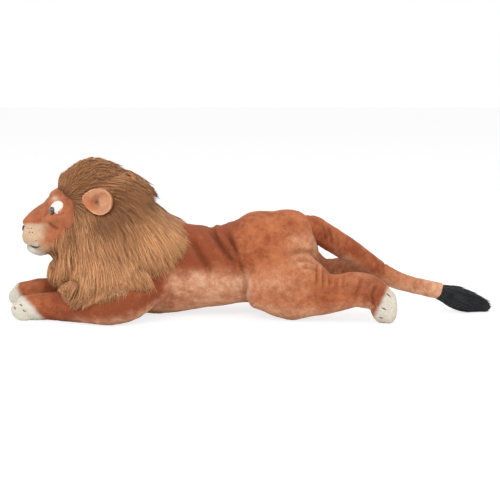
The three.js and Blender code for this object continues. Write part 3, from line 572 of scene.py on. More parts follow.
class Wires:
    """Short words for wiring a node material."""

    def __init__(self, name):
        self.material = bpy.data.materials.new(name)
        self.material.use_nodes = True
        self.tree = self.material.node_tree
        self.shader = self.tree.nodes["Principled BSDF"]

    def node(self, kind, **values):
        node = self.tree.nodes.new(kind)
        for key, value in values.items():
            if key in node.inputs.keys():
                self.feed(node.inputs[key], value)
            else:
                setattr(node, key, value)
        return node

    def feed(self, socket, value):
        if isinstance(value, bpy.types.NodeSocket):
            self.tree.links.new(value, socket)
        else:
            socket.default_value = value

    def math(self, operation, *values, clamp=False):
        node = self.node("ShaderNodeMath", operation=operation, use_clamp=clamp)
        for socket, value in zip(node.inputs, values):
            self.feed(socket, value)
        return node.outputs[0]

    def sum(self, a, share_a, b, share_b, more=0.0):
        """a and b, each times its share, and a constant."""
        total = self.math("ADD", self.math("MULTIPLY", a, share_a), self.math("MULTIPLY", b, share_b))
        return self.math("ADD", total, more) if more else total

    def mix(self, factor, a, b, blend="MIX"):
        node = self.tree.nodes.new("ShaderNodeMix")
        node.data_type = "RGBA"
        node.blend_type = blend
        self.feed(node.inputs["Factor"], factor)
        for socket, value in ((node.inputs[6], a), (node.inputs[7], b)):
            self.feed(socket, value if isinstance(value, bpy.types.NodeSocket) else (*value, 1.0))
        return node.outputs[2]

    def place(self):
        return self.node("ShaderNodeTexCoord").outputs["Object"]

    def noise(self, vector, scale, detail=3.0, roughness=0.55):
        noise = self.node("ShaderNodeTexNoise", Vector=vector, Scale=scale, Detail=detail, Roughness=roughness)
        return noise.outputs["Fac"]

    def own(self, name):
        return self.node("ShaderNodeAttribute", attribute_name=name).outputs["Fac"]

    def step(self, value, low, high):
        ends = {"From Min": low, "From Max": high}
        return self.node("ShaderNodeMapRange", Value=value, interpolation_type="SMOOTHSTEP", **ends).outputs[0]

    def bump(self, strength, distance, height):
        bump = self.node("ShaderNodeBump", Strength=strength, Distance=distance, Height=height)
        self.feed(self.shader.inputs["Normal"], bump.outputs[0])

    def surface(self, hue, roughness, **more):
        """The material, with its colour, its roughness and further inputs set."""
        for name, value in {"Base Color": hue, "Roughness": roughness, **more}.items():
            self.feed(self.shader.inputs[name.replace("_", " ")], value)
        return self.material


def pile_fabric(name, base, deep, pale, light, toe, bumps=0.5):
    """Short sheared pile: brushed patches of two tones, darker pile and painted shade, blotches where it is pale,
    a fade to the toe colour, painted shade in creases and hollows, and a fine broken bump. Attributes of the
    piece place them: pale, the darker pile and painted shade share, toe and shade."""
    w = Wires(name)
    place = w.place()
    patches = w.noise(place, 17.0, 4.0, 0.62)
    strokes = w.noise(place, 62.0, 5.0, 0.66)
    tips = w.noise(place, 420.0, 3.0, 0.6)
    tone = w.step(w.sum(patches, 0.62, strokes, 0.38), 0.31, 0.62)
    # Darker pile and painted shade: the tone drops towards the deep colour where that share is high.
    tone = w.math("SUBTRACT", tone, w.math("MULTIPLY", w.own("dusk"), 0.75), clamp=True)
    soft = w.mix(w.step(w.sum(strokes, 0.7, patches, 0.3), 0.40, 0.66), pale, light)
    uneven = w.sum(patches, 1.1, strokes, 0.9, -1.0)
    pale_share = w.math("MULTIPLY", w.own("pale"), w.sum(uneven, 1.5, 1.0, 1.0), clamp=True)
    hue = w.mix(pale_share, w.mix(tone, deep, base), soft)
    hue = w.mix(w.step(w.sum(w.own("toe"), 1.0, uneven, 0.35), 0.18, 0.82), hue, toe)
    # Painted shade: creases and hollows darken towards a third of the deep colour where the shade share is high.
    hue = w.mix(w.math("MULTIPLY", w.own("shade"), 0.55), hue, [c * 0.3 for c in deep])
    sparkle = w.mix(w.step(tips, 0.30, 0.72), (0.84, 0.82, 0.80), (1.10, 1.11, 1.12))
    w.bump(bumps, 0.0022, w.sum(tips, 0.7, strokes, 0.9))
    return w.surface(w.mix(1.0, hue, sparkle, "MULTIPLY"), 0.92, Specular_IOR_Level=0.15,
                     Sheen_Weight=0.12, Sheen_Roughness=0.45, Sheen_Tint=(1.0, 0.78, 0.62, 1.0))


def long_pile(name, dark, middle, light, gloss=0.45):
    """Hair of a long pile: dark at the root, each lock its own tone, streaked along its length, and lighter or
    darker where its tint carries painted light and shade.
    """
    w = Wires(name)
    streak = w.noise(w.place(), 160.0, 3.0, 0.6)
    tone = w.sum(w.own("tint"), 0.75, streak, 0.45, -0.225)
    hue = w.mix(w.step(tone, 0.15, 0.95), middle, light)
    hue = w.mix(w.step(tone, 0.35, -0.1), hue, [a * 0.55 + b * 0.45 for a, b in zip(middle, dark)])
    hue = w.mix(w.step(w.own("along"), 0.0, 0.55), dark, hue)
    return w.surface(hue, gloss, Specular_IOR_Level=0.28, Sheen_Weight=0.06, Sheen_Roughness=0.4)


def thread_material(name, hue):
    """Twisted thread: fine stripes along its place, slightly glossy."""
    w = Wires(name)
    twist = w.noise(w.place(), 900.0, 2.0)
    w.bump(0.6, 0.0004, twist)
    return w.surface(w.mix(twist, hue, [min(1.0, c * 3 + 0.01) for c in hue]), 0.55)


def eye_material(name, hue):
    """A polished dome whose centre is black and whose ring is brown, with fine radial streaks."""
    w = Wires(name)
    across = w.own("across")
    ring = w.mix(w.noise(w.place(), 700.0, 2.0), (0.20, 0.075, 0.018), (0.33, 0.14, 0.035))
    rim = w.mix(w.step(across, 0.68, 0.78), ring, hue)
    return w.surface(w.mix(w.step(across, 0.46, 0.56), hue, rim), 0.08, Coat_Weight=1.0, Coat_Roughness=0.03)


def moulded_plastic(name, hue, roughness):
    w = Wires(name)
    grain = w.noise(w.place(), 900.0, 2.0)
    w.bump(0.15, 0.0002, grain)
    return w.surface(w.mix(grain, [c * 0.93 for c in hue], hue), roughness)


def scaled(hue, share):
    return [min(1.0, c * share) for c in hue]


MATERIALS = {}


def material(key):
    """Each finish of the toy, made once."""
    if key not in MATERIALS:
        c = colours()
        make = {
            "body": (pile_fabric, "rust_pile", c.rust, c.deep, c.pale, c.light, c.toe),
            "face": (pile_fabric, "face_pile", c.face, scaled(c.face, 0.62), c.cream, scaled(c.cream, 1.08),
                     c.toe, 0.35),
            "white": (pile_fabric, "white_pile", c.toe, scaled(c.toe, 0.9), c.cream, c.cream, c.toe, 0.25),
            "eye_white": (pile_fabric, "eye_patch", *[(0.80, 0.79, 0.74)] * 5, 0.15),
            "pink": (pile_fabric, "ear_lining", c.pink, scaled(c.pink, 0.8), c.rust, c.pale, c.light, 0.25),
            "nose": (pile_fabric, "nose_pile", (0.16, 0.06, 0.045), (0.07, 0.03, 0.025), c.face, c.face,
                     c.toe, 0.3),
            "mane": (long_pile, "mane_hair", c.tan_dark, c.tan, c.tan_light),
            "tuft": (long_pile, "tuft_hair", scaled(c.black, 0.4), c.black, scaled(c.black, 2.6), 0.5),
            "thread": (thread_material, "stitch_thread", c.thread),
            "eye": (eye_material, "eye_dome", c.eye),
            "washer": (moulded_plastic, "washer_plastic", (0.8, 0.8, 0.76), 0.5),
        }
        maker, *values = make[key]
        MATERIALS[key] = maker(*values)
    return MATERIALS[key]


# Trunk and legs: one skin, cut where the legs turn

FLANK_CREASES = [
    ([(190, 236), (200, 255), (214, 277)], 3.3, 0.0080),
    ([(208, 227), (222, 246), (238, 268)], 3.3, 0.0080),
    ([(222, 226), (230, 238), (238, 254)], 3.0, 0.0045),
    ([(226, 222), (233, 243), (241, 266), (246, 284), (245, 297), (250, 303)], 1.8, 0.0050),
    ([(196, 262), (205, 276)], 2.6, 0.0035),
    ([(170, 284), (172, 304)], 2.4, 0.0032),
]
HAUNCH_CREASES = [
    ([(292, 253), (304, 251), (316, 253)], 2.0, 0.0040),
    ([(294, 260), (306, 260), (318, 264)], 1.8, 0.0042),
    ([(300, 268), (310, 267), (320, 271)], 1.6, 0.0030),
    ([(363, 276), (359, 287), (354, 298)], 1.8, 0.0050),
    ([(377, 284), (372, 295), (374, 307)], 1.6, 0.0055),
    ([(252, 276), (258, 283), (262, 287)], 2.6, 0.0030),
]
KNEE_FOLD = 6.3
CUT_MARGIN = 0.009
SEAM_SINK = 0.0016


def haunch_cut(side):
    """Start and direction of the bend between the rump and a hind leg."""
    root = HINGES["hip_left"]
    return np.array([root[0] + 0.046, side * 0.096, 0.108]), unit(np.array([0.80, side * 0.50, -0.33]))


def shoulder_cut(side):
    """Start and direction of the bend between the chest and a foreleg."""
    root = HINGES["shoulder_left"]
    return np.array([root[0] - 0.018, side * 0.112, 0.060]), unit(np.array([-0.72, side * 0.60, -0.34]))


def body_tones(points, normals):
    """Shares of the pale pile and of the darker pile with painted shade: pale below the belly line, on the inner
    thighs and under the buttock, darker on the flank, the shoulder and the forearm, and painted shade on the far
    hind quarter."""
    u, v = side_view(points).T
    x, y, _ = points.T
    outer = rise(-0.2, 0.2, normals[:, 1] * np.sign(y))
    belly = rise(264, 284, v) * rise(158, 178, u) * rise(258, 246, u) * 0.92
    under = rise(-0.15, -0.75, normals[:, 2]) * rise(-0.45, -0.40, x) * 0.8
    thigh = rise(258, 280, v) * rise(242, 254, u) * rise(326, 288, u) * rise(312, 286, v) * 0.27 * outer
    rear = rise(278, 302, u) * rise(224, 242, v) * rise(282, 262, v) * rise(334, 318, u) * 0.42
    shank = rise(330, 352, u) * 0.14 * rise(300, 280, v)
    inner = rise(0.1, 0.5, -normals[:, 1] * np.sign(y)) * rise(0.12, 0.20, x) * 0.35
    pale = np.clip(np.maximum.reduce([belly, under, thigh, rear, shank, inner]), 0, 1)
    pale *= 1 + 0.45 * drift(points, 0.045, 3) + 0.25 * drift(points, 0.018, 5)
    flank = rise(150, 176, u) * rise(256, 226, u) * rise(288, 262, v)
    arm = rise(24, 48, u) * rise(176, 150, u) * rise(0.02, 0.0, x + 0.15) * 0.85
    # Painted shade over the far side's haunch and hind leg.
    far = rise(0.05, 0.09, y) * rise(0.12, 0.2, x) * 0.5
    ankle = rise(354, 368, u) * rise(390, 380, u) * 0.8 * rise(0.1, 0.2, x)
    dusk = np.maximum.reduce([0.95 * flank, arm, far, ankle]) * (1 + 0.35 * drift(points, 0.05, 7))
    return pale, dusk


def knee_folds(seen):
    """Rounded folds across the back of the knee: one less a power of a sine's size along
    the leg, so that rolls of cloth meet in narrow valleys, which die out below."""
    u, v = seen.T
    roll = np.abs(np.sin((u - 311.7 + 0.06 * (v - 275)) / KNEE_FOLD * math.pi)) ** 1.2
    return (1 - roll) * rise(311, 317, u) * rise(349, 339, u) * rise(302, 280, v)


def skin_displaced(obj):
    """Fabric detail on the joined skin: folds, gathers and slack between them, and the share of painted shade that
    darkens the creases and the knee folds.
    """
    points = points_of(obj)
    x, _, z = points.T
    junction = (rise(-0.03, 0.03, x) * rise(0.150, 0.105, x) * rise(0.035, 0.07, z)
                + rise(-0.15, -0.19, x) * rise(-0.36, -0.32, x) * rise(0.03, 0.05, z))
    points = relaxed(points, edges_of(obj), 26, np.clip(junction, 0, 1) * 0.55)
    move_points(obj, points)
    normals = normals_of(obj)
    seen = side_view(points)
    facing = rise(0.05, 0.45, np.abs(normals[:, 1]) + 0.35 * np.maximum(normals[:, 2], 0))
    trunk = (np.abs(points[:, 1]) < 0.125) | (points[:, 0] > 0)
    outward = rise(0.0, 0.3, normals[:, 1] * np.sign(points[:, 1]) + 0.3 * np.maximum(normals[:, 2], 0))
    depth = creased(seen, FLANK_CREASES) * facing * trunk
    rear = rise(0.03, 0.05, points[:, 0]) * outward
    depth += creased(seen, HAUNCH_CREASES) * facing * rear
    fold = knee_folds(seen) * rear * rise(0.05, 0.5, np.abs(normals[:, 1]))
    slack = 0.0016 * drift(points, 0.045, 1) + 0.0007 * drift(points, 0.016, 2) + 0.0004 * drift(points, 0.006, 9)
    points = points + normals * (slack - depth - 0.0100 * fold)[:, None]
    u = seen[:, 0]
    points[:, 2] -= 0.011 * rise(213, 223, u) * rise(252, 234, u) * rise(0.2, 0.8, normals[:, 2])
    return points, np.clip(depth / 0.011, 0, 0.7) + 0.32 * fold


def make_skin():
    s = sizes()
    forms = [stuffed(torso_stations(), 0.3 * s.torso_height), stuffed(rump_stations(), 0.105 * s.rump_height),
             ellipsoid((0.092, 0, 0.204), (0.068, 0.080, 0.0565))]
    for side in SIDES.values():
        forms.append(stuffed(foreleg_stations(side), 0.07 * foreleg_reach(side)))
        forms.append(stuffed(hindleg_stations(side), 0.09 * s.hindleg_length))
        foot = hindfoot_place(side)
        forms.append(ellipsoid(foot, (0.032, 0.038, 0.044)))
        for aside in (-0.021, 0.0, 0.021):
            toe = foot + [0.012, aside, 0.001 - 0.004 * abs(aside) / 0.021]
            forms.append(ellipsoid(toe, (0.0215, 0.0145, 0.039)))
        tip = foreleg_stations(side)[-1][:3]
        for aside in (-0.024, -0.008, 0.009, 0.025):
            forms.append(ellipsoid(tip + [-0.004 + 0.16 * abs(aside), aside, -0.004], (0.031, 0.0112, 0.0245)))
    skin = sewn("skin", forms, 0.0034)
    points, shade = skin_displaced(skin)
    points[:, 2] = np.maximum(points[:, 2], 0.0002)
    move_points(skin, points)
    normals = normals_of(skin)
    pale, dusk = body_tones(points, normals)
    toe = np.zeros(len(points))
    seen = side_view(points)
    for side in SIDES.values():
        own = points[:, 1] * side > 0
        u, v = seen.T + np.array([[paw_shift(side)], [0]])
        toe = np.maximum(toe, own * (u < 60) * rise(-8, 6, 0.757 * (20 - u) + 0.655 * (v - 294)))
        u, v = seen.T
        toe = np.maximum(toe, own * (u > 362) * 0.68 * rise(-6, 4, 0.894 * (u - 387) + 0.447 * (v - 290)))
    return skin, points, {"pale": pale, "dusk": dusk, "toe": toe, "shade": shade}


class LION_OT_skin(bpy.types.Operator):
    """Sewn skin of chest, waist, rump and the four legs, cut where the legs turn"""

    bl_idname = "lion.skin"
    bl_label = "Trunk and legs"

    def execute(self, context):
        skin, points, tones = make_skin()
        x, y, _ = points.T
        normals = normals_of(skin)
        hidden = np.zeros(len(points))
        legs = []
        for word, side in SIDES.items():
            for kind, seam, part in (("hindleg", haunch_cut, x > 0), ("foreleg", shoulder_cut, x < -0.1)):
                start, direction = seam(side)
                far = np.where(part & (y * side > 0), (points - start) @ direction, -1.0)
                legs.append((kind, word, start, direction, far))
                hidden = np.maximum(hidden, np.where(far > 0, far, 0))

        def cut(name, keep, past):
            """A piece of the skin, sunk a little where it runs past its seam, under the next piece."""
            move_points(skin, points - normals * (SEAM_SINK * rise(0, CUT_MARGIN, past))[:, None])
            piece, used = cut_out(skin, name, keep)
            toned(piece, **{key: values[used] for key, values in tones.items()})
            return piece

        finished(cut("trunk_skin", hidden <= CUT_MARGIN, hidden), material("body"), "torso",
                 ["torso_cover", "torso_stuffing", "rump_cover", "rump_stuffing"])
        for kind, word, start, direction, far in legs:
            leg = cut(f"{kind}_skin_{word}", far > -CUT_MARGIN, np.clip(-far, 0, CUT_MARGIN))
            tip = "hindfoot" if kind == "hindleg" else "forepaw"
            finished(leg, material("body"), None,
                     [f"{kind}_cover_{word}", f"{tip}_{word}", f"{kind}_stuffing_{word}"])
            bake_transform(leg)
        bpy.data.objects.remove(skin)
        return {"FINISHED"}


# Head


def head_place(along, aside, above):
    s = sizes()
    return skull_start() + np.array([-along * s.head_length, aside * s.head_width, above * s.head_height])


def muzzle_middle():
    return np.array([nose_tip_x() + 0.037, 0, skull_start()[2] - 0.26 * sizes().head_height])


def head_forms():
    s = sizes()
    base = skull_start()
    skull = [(base[0] - a * s.head_length, 0, base[2] + m * s.head_height, h * s.head_height, w * s.head_width)
             for a, m, h, w in SKULL]
    middle = base[2] - 0.12 * s.head_height
    bridge = [(nose_tip_x() + (1 - a) * 0.078, 0, middle + m * 0.040, h * 0.040, w * 0.046)
              for a, m, h, w in BRIDGE]
    forms = [stuffed(skull, 0.063 * s.head_length), stuffed(bridge, 0.06 * 0.078, 40, 40)]
    neck = HINGES["head_turn"]
    muzzle = muzzle_middle()
    stub = [(*(neck + HEAD_AXIS * k), 0.100, 0.095) for k in (0.005, 0.03, 0.06)]
    forms.append(stuffed(stub, 0.02, 20, 40))
    for side in SIDES.values():
        forms.append(ellipsoid(head_place(0.58, side * 0.335, -0.20), (0.031, 0.021, 0.026)))
        forms.append(ellipsoid((-0.4865, side * 0.040, 0.2830), (0.017, 0.021, 0.012), 0.5))
        forms.append(ellipsoid((-0.4880, side * 0.062, 0.2380), (0.021, 0.016, 0.017)))
        rows = [(muzzle[0] - a * 0.066, side * 0.019, muzzle[2] + m * 0.060, h * 0.060, w * 0.092)
                for a, m, h, w in MUZZLE]
        forms.append(stuffed(rows, 0.012, 44, 44))
        forms.append(ellipsoid(muzzle + [0.030, side * 0.034, -0.012], (0.034, 0.024, 0.030)))
    return forms


FACE_CREASES = [
    ([(47, 221), (52, 226), (59, 230)], 1.5, 0.0040),
    ([(55, 214.5), (60, 214), (65, 213)], 1.2, 0.0026),
    ([(42, 219), (46, 214), (49, 209)], 1.6, 0.0026),
]


class LION_OT_head(bpy.types.Operator):
    """Skin of the skull, cheeks, brows and nose bridge"""

    bl_idname = "lion.head"
    bl_label = "Head"

    def execute(self, context):
        head = sewn("head_skin", head_forms(), 0.0026, 8)
        points = relaxed(points_of(head), edges_of(head), 14, 0.5)
        move_points(head, points)
        normals = normals_of(head)
        seen = side_view(points)
        u, v = seen.T
        facing = rise(0.1, 0.5, np.abs(normals[:, 1]))
        depth = creased(seen, FACE_CREASES) * facing
        slack = 0.0008 * drift(points, 0.02, 1) + 0.0003 * drift(points, 0.006, 2)
        points = points + normals * (slack - depth)[:, None]
        lip = bell(points[:, 1], 0, 0.0022) * rise(-0.545, -0.552, points[:, 0]) * rise(221, 226, v)
        points = points - normals * (0.004 * lip)[:, None]
        move_points(head, points)
        brow = bell(u, 54.5, 4.5) * bell(v, 198.0, 2.6) * facing
        muzzle = rise(221.5, 226, v) * rise(50, 34, u + 0.25 * (v - 236)) * rise(258, 250, v)
        lower = rise(240, 250, v) * rise(58, 44, u) * 0.7
        socket = bell(u, 57.7, 6.0) * bell(v, 207, 8.0) * facing
        # Painted shade: the cheek's hollow below the eye, the face's creases and the lip's groove are darkened, and
        # the face darkens towards the mane.
        toned(head, pale=np.clip(np.maximum.reduce([brow * 0.9, muzzle, lower]), 0, 1),
              dusk=0.8 * bell(u, 55, 8) * bell(v, 222, 6) + 0.3 * rise(58, 66, u),
              toe=np.maximum(0.5 * socket, 0.55 * rise(238, 247, v) * rise(44, 34, u)),
              shade=np.clip(depth / 0.004, 0, 1) * 0.8 + 0.3 * lip)
        finished(head, material("face"), "head", ["head_cover", "head_stuffing", "muzzle"])
        return {"FINISHED"}


NOSE_RADII = (0.0085, 0.0175, 0.0105)


class LION_OT_muzzle(bpy.types.Operator):
    """Chin and nose"""

    bl_idname = "lion.muzzle"
    bl_label = "Chin and nose"

    def execute(self, context):
        middle = muzzle_middle()
        chin_at = (nose_tip_x() + 0.65 * 0.058, 0, middle[2] - 0.030 - 0.2 * 0.032)
        points, faces = ellipsoid(chin_at, (0.029, 0.030, 0.016), math.radians(14), 64)
        chin = mesh_of("chin_pad", points, faces)
        move_points(chin, points + normals_of(chin) * (0.0006 * drift(points, 0.009, 3))[:, None])
        toned(chin, toe=0.6, shade=rise(0.004, 0.012, points[:, 2] - chin_at[2]) * 0.25)
        finished(chin, material("white"), "head", ["chin"])

        nose_at = np.array([nose_tip_x() + 0.007, 0, middle[2] + 0.25 * 0.060])
        points, faces = ellipsoid(nose_at, NOSE_RADII, 0.0, 56)
        rel = (points - nose_at) / NOSE_RADII
        points[:, 1] *= 1 - 0.38 * rise(0.2, -0.9, rel[:, 2])
        for side in SIDES.values():
            nostril = bell(points[:, 1], side * 0.0085, 0.0035) * bell(points[:, 2], nose_at[2] - 0.003, 0.0028)
            points[:, 0] += 0.0022 * nostril
        nose = mesh_of("nose_pad", points, faces)
        toned(nose, shade=0.2)
        finished(nose, material("nose"), "head", ["nose"])
        return {"FINISHED"}


def turned_from_y(direction):
    """Matrix that turns +Y to a direction."""
    return np.array(Vector((0, 1, 0)).rotation_difference(Vector(direction)).to_matrix())


EYE_PLACE = (51.6, 210.8)


class LION_OT_eyes(bpy.types.Operator):
    """Domed eyes on stems, and the white patches that they sit in"""

    bl_idname = "lion.eyes"
    bl_label = "Eyes"

    def execute(self, context):
        tree = surface_tree(bpy.data.objects["head_skin"])
        for word, side in SIDES.items():
            self.dome(tree, word, side)
            self.patch(tree, word, side)
            washer = frame["nodes"][f"eye_washer_{word}"]
            washer.data.materials.clear()
            washer.data.materials.append(material("washer"))
        return {"FINISHED"}

    @staticmethod
    def dome(tree, word, side):
        """A quarter ellipse turned round the eye's axis, on a stem through the skin."""
        radius, bulge, stem, stem_end, sides = sizes().eye_radius * 0.9, 0.0085, 0.0026, -0.020, 56
        facing = unit(np.array([-0.93, side * 0.36, 0.06]))
        turn = turned_from_y(facing)
        at = sighted(tree, [EYE_PLACE], side)[0] - facing * 0.0015
        quarter = np.linspace(0, 1, 26) * math.pi / 2
        arc = np.stack([np.sin(quarter), np.cos(quarter)], -1)[::-1] * [radius, bulge]
        profile = np.vstack([[stem, stem_end], [stem, -0.002], [radius, -0.002], arc[:-1]])
        angle = around(sides)
        ring = np.stack([np.cos(angle), np.zeros(sides), np.sin(angle)], -1)
        grid = profile[:, 0, None, None] * ring[None] + profile[:, 1, None, None] * np.array([0, 1, 0])
        poles = np.array([[0, stem_end, 0], [0, bulge, 0]])
        points, faces = closed_tube(grid[:, ::-1] @ turn.T + at, poles @ turn.T + at)
        eye = mesh_of(f"eye_dome_{word}", points, faces)
        attribute(eye, "across", np.concatenate([[0, 0], np.repeat(profile[:, 0] / radius, sides)]))
        finished(eye, material("eye"), "head", [f"eye_{word}"])

    @staticmethod
    def patch(tree, word, side):
        """A pad on the skin: an ellipse laid on it, raised by the root of 1 - r^2, and its back."""
        rings, sides, height = 12, 44, 0.0042
        centre = np.array([-0.4695, side * 0.0640, 0.2755])
        basis = turned_from_y(unit(np.array([-0.35, side * 0.90, 0.28])))
        r, a = np.meshgrid(np.linspace(0.04, 1, rings), around(sides), indexing="ij")
        flat = np.stack([r * np.cos(a) * 0.0145, 0 * r, r * np.sin(a) * 0.0170], -1).reshape(-1, 3)
        top, normal = laid_on(tree, np.vstack([flat @ basis.T + centre, centre]))
        lift = np.append(height * np.sqrt(np.clip(1 - r.ravel() ** 2, 0, 1)), height)[:, None]
        rim = np.arange(sides)
        after = (rim + 1) % sides
        start = np.arange(rings - 1)[:, None] * sides
        quads = np.stack([start + rim, start + sides + rim, start + sides + after, start + after], -1)
        quads = quads.reshape(-1, 4)
        hub = np.stack([np.full(sides, rings * sides), rim, after], -1)
        count, last = len(top), (rings - 1) * sides
        edge = np.stack([last + rim, last + rim + count, last + after + count, last + after], -1)
        if side > 0:
            quads, hub, edge = quads[:, ::-1], hub[:, ::-1], edge[:, ::-1]
        both = np.vstack([top + normal * (lift + 0.0004), top - normal * 0.003])
        faces = [np.vstack([quads, quads[:, ::-1] + count, edge]), np.vstack([hub, hub[:, ::-1] + count])]
        patch = mesh_of(f"eye_white_{word}", both, faces)
        toned(patch, toe=1.0)
        finished(patch, material("eye_white"), "head", [f"eye_patch_{word}"])


EAR_FACING = unit(np.array([-0.45, 0.88, 0.12]))
EAR_RINGS, RIM_RINGS, EAR_SIDES = 26, 7, 72
EAR_STALK = [(0.0, 0.014, 0.013), (0.5, 0.015, 0.012), (1.0, 0.017, 0.007)]


def ear_middle(side):
    """Middle of an ear's rim."""
    root = HINGES["ear_fold_left" if side < 0 else "ear_fold_right"]
    return root + unit(np.array([0.412, side * 0.883, 0.225])) * sizes().ear_width + BACK * 0.004


class LION_OT_ears(bpy.types.Operator):
    """Cupped ears: plush backs with a rolled rim and pink linings"""

    bl_idname = "lion.ears"
    bl_label = "Ears"

    def execute(self, context):
        for word, side in SIDES.items():
            self.cup(word, side)
        return {"FINISHED"}

    @staticmethod
    def cup(word, side):
        """A bowl r^2.2 deep, folded in ahead, with a rolled rim and a back. Its coordinates are p
        back along the head, q up and n out of the cup."""
        n = EAR_FACING * [1, side, 1]
        q = unit(UP - n * (UP @ n))
        p = unit(np.cross(n, q)) * side
        p = p if p[0] > 0 else -p
        r, a = np.meshgrid(np.linspace(0, 1, EAR_RINGS), around(EAR_SIDES), indexing="ij")
        near = lambda angle, width: bell(np.angle(np.exp(1j * (a - angle))), 0, width)
        outline = 1 + 0.04 * np.cos(2 * a) + 0.03 * np.cos(a - 0.9) - 0.06 * near(-2.3, 0.7)
        ahead = near(2.9, 0.85)
        fold = 0.011 * ahead * r ** 3
        bowl = 0.024 * r ** 2.2 - 0.0085 * ahead * bell(r, 0.60, 0.11)
        wide = sizes().ear_width / 2
        shape = ((r * outline * np.cos(a) * wide - fold * 0.9)[..., None] * p
                 + (r * outline * np.sin(a) * wide * 1.02)[..., None] * q + (bowl + fold)[..., None] * n)
        centre = ear_middle(side) - n * 0.024
        lining = shape * 0.90 + centre + n * 0.0022
        roll = np.linspace(0, math.pi, RIM_RINGS + 1)[1:, None, None]
        edge = lining[-1][None] + unit(shape[-1] - shape[-2])[None] * 0.0062 * np.sin(roll)
        edge = edge - n * 0.0031 * (1 - np.cos(roll))
        back = shape[::-1] * 1.02 + centre - n * 0.0050
        grid = np.concatenate([lining[1:], edge, back[1:-1]])
        if side < 0:
            grid = grid[:, ::-1]
        points, faces = closed_tube(grid, np.array([lining[0, 0], back[-1, 0]]))
        ear = mesh_of(f"ear_cup_{word}", points, faces)

        def by_ring(poles, *rings):
            return np.concatenate([poles, np.repeat(np.concatenate(rings), EAR_SIDES)])

        share = np.linspace(0.04, 1, EAR_RINGS - 1)
        beyond = np.ones(RIM_RINGS + EAR_RINGS - 2)
        inner = by_ring([1, 0], np.sin(share * math.pi) ** 0.5, 0 * beyond)
        crumple = 0.0050 * inner * drift(points, 0.016, 15) + 0.0012 * drift(points, 0.008, 5)
        points = points + normals_of(ear) * (crumple + 0.0003 * drift(points, 0.004, 6))[:, None]
        move_points(ear, points)
        outer = by_ring([0, 1], 0 * share, np.linspace(0, 1, RIM_RINGS), np.ones(EAR_RINGS - 2))
        out = np.concatenate([share, beyond])[:, None]
        front = np.append([0, 0], ahead[0] * rise(0.55, 0.75, out))
        groove = np.append([0, 0], ahead[0] * bell(out, 0.56, 0.10))
        blotches = np.where(outer < 0.5, 0.30 + 0.45 * drift(points, 0.014, 8), 0)
        toned(ear, pale=np.clip(np.maximum(outer, front), 0, 1), toe=blotches * (1 - front),
              shade=by_ring([1, 0], 1 - share, 0 * beyond) * 0.1 + 1.2 * groove)
        nodes = [f"ear_back_{word}", f"ear_lining_{word}"]
        finished(ear, material("pink"), f"ear_{word}", nodes)

        root = HINGES[f"ear_fold_{word}"]
        reach = centre - n * 0.011 - root
        points, faces = stuffed([(*(root + reach * t), h, w) for t, h, w in EAR_STALK], 0.010, 24, 32)
        stalk = mesh_of(f"ear_root_{word}", points, faces)
        toned(stalk)
        finished(stalk, material("body"), f"ear_{word}", ())


# Hair


LOCK_RINGS = 4


def combed(name, roots, normals, first, last, length, width, rng, pull, cell=0.012, glow=0.0):
    """Locks of hair. A lock's middle is root + length ((s - s^2/2) first + s^2/2 last), for s from
    root to tip, its tip drawn towards its neighbours', and its section a flat triangle that tapers."""
    n = len(roots)
    length = length * (0.72 + 0.5 * rng.random(n))
    wander = rng.normal(0, 1, (n, 3))
    first = unit(first + 0.07 * wander)
    last = unit(last + 0.11 * wander[:, ::-1] + 0.06 * rng.normal(0, 1, (n, 3)))
    s = np.linspace(0, 1, LOCK_RINGS + 1)[None, :, None]
    middle = roots[:, None] + length[:, None, None] * ((s - s * s / 2) * first[:, None] + s * s / 2 * last[:, None])
    key = np.floor(roots / cell).astype(np.int64) @ np.array([73856093, 19349663, 83492791])
    _, clump = np.unique(key, return_inverse=True)
    clump = clump.ravel()
    size = np.bincount(clump)[:, None]
    tips = np.stack([np.bincount(clump, middle[:, -1, k]) for k in range(3)], 1) / size
    middle += (np.reshape(pull, (-1, 1)) * (tips[clump] - middle[:, -1]))[:, None] * s ** 1.6
    along = unit(np.gradient(middle, axis=1))
    aside = unit(np.cross(along, normals[:, None]) + 0.35 * wander[:, None])
    over = unit(np.cross(aside, along))
    taper = width * (0.75 + 0.5 * rng.random((n, 1, 1))) * (1 - 0.93 * s ** 1.5)
    angle = np.radians([90, 210, 330])
    grid = (middle[:, :-1, None] + np.cos(angle)[:, None] * (taper[:, :-1] * aside[:, :-1])[:, :, None]
            + np.sin(angle)[:, None] * (0.55 * taper[:, :-1] * over[:, :-1])[:, :, None])
    points = np.concatenate([grid.reshape(n, -1, 3), middle[:, -1:]], 1)
    per = LOCK_RINGS * 3 + 1
    ring = np.arange(LOCK_RINGS - 1)[:, None] * 3
    j, k = np.arange(3), (np.arange(3) + 1) % 3
    quads = np.stack([ring + j, ring + k, ring + 3 + k, ring + 3 + j], -1).reshape(-1, 4)
    last_ring = (LOCK_RINGS - 1) * 3
    tris = np.vstack([np.stack([last_ring + j, last_ring + k, np.full(3, per - 1)], -1), [[0, 2, 1]]])
    offset = np.arange(n)[:, None, None] * per
    faces = [(quads + offset).reshape(-1, 4), (tris + offset).reshape(-1, 3)]
    hair = mesh_of(name, points.reshape(-1, 3), faces)
    tint = (0.5 * rng.random(size.shape[0])[clump] + 0.5 * rng.random(n))
    share = np.append(np.repeat(s[0, :-1, 0], 3), 1)
    attribute(hair, "along", np.tile(share, n))
    # Each lock's tint is its own random tone plus glow, the painted light and shade that it is given.
    attribute(hair, "tint", np.repeat(tint + glow, per))
    return hair


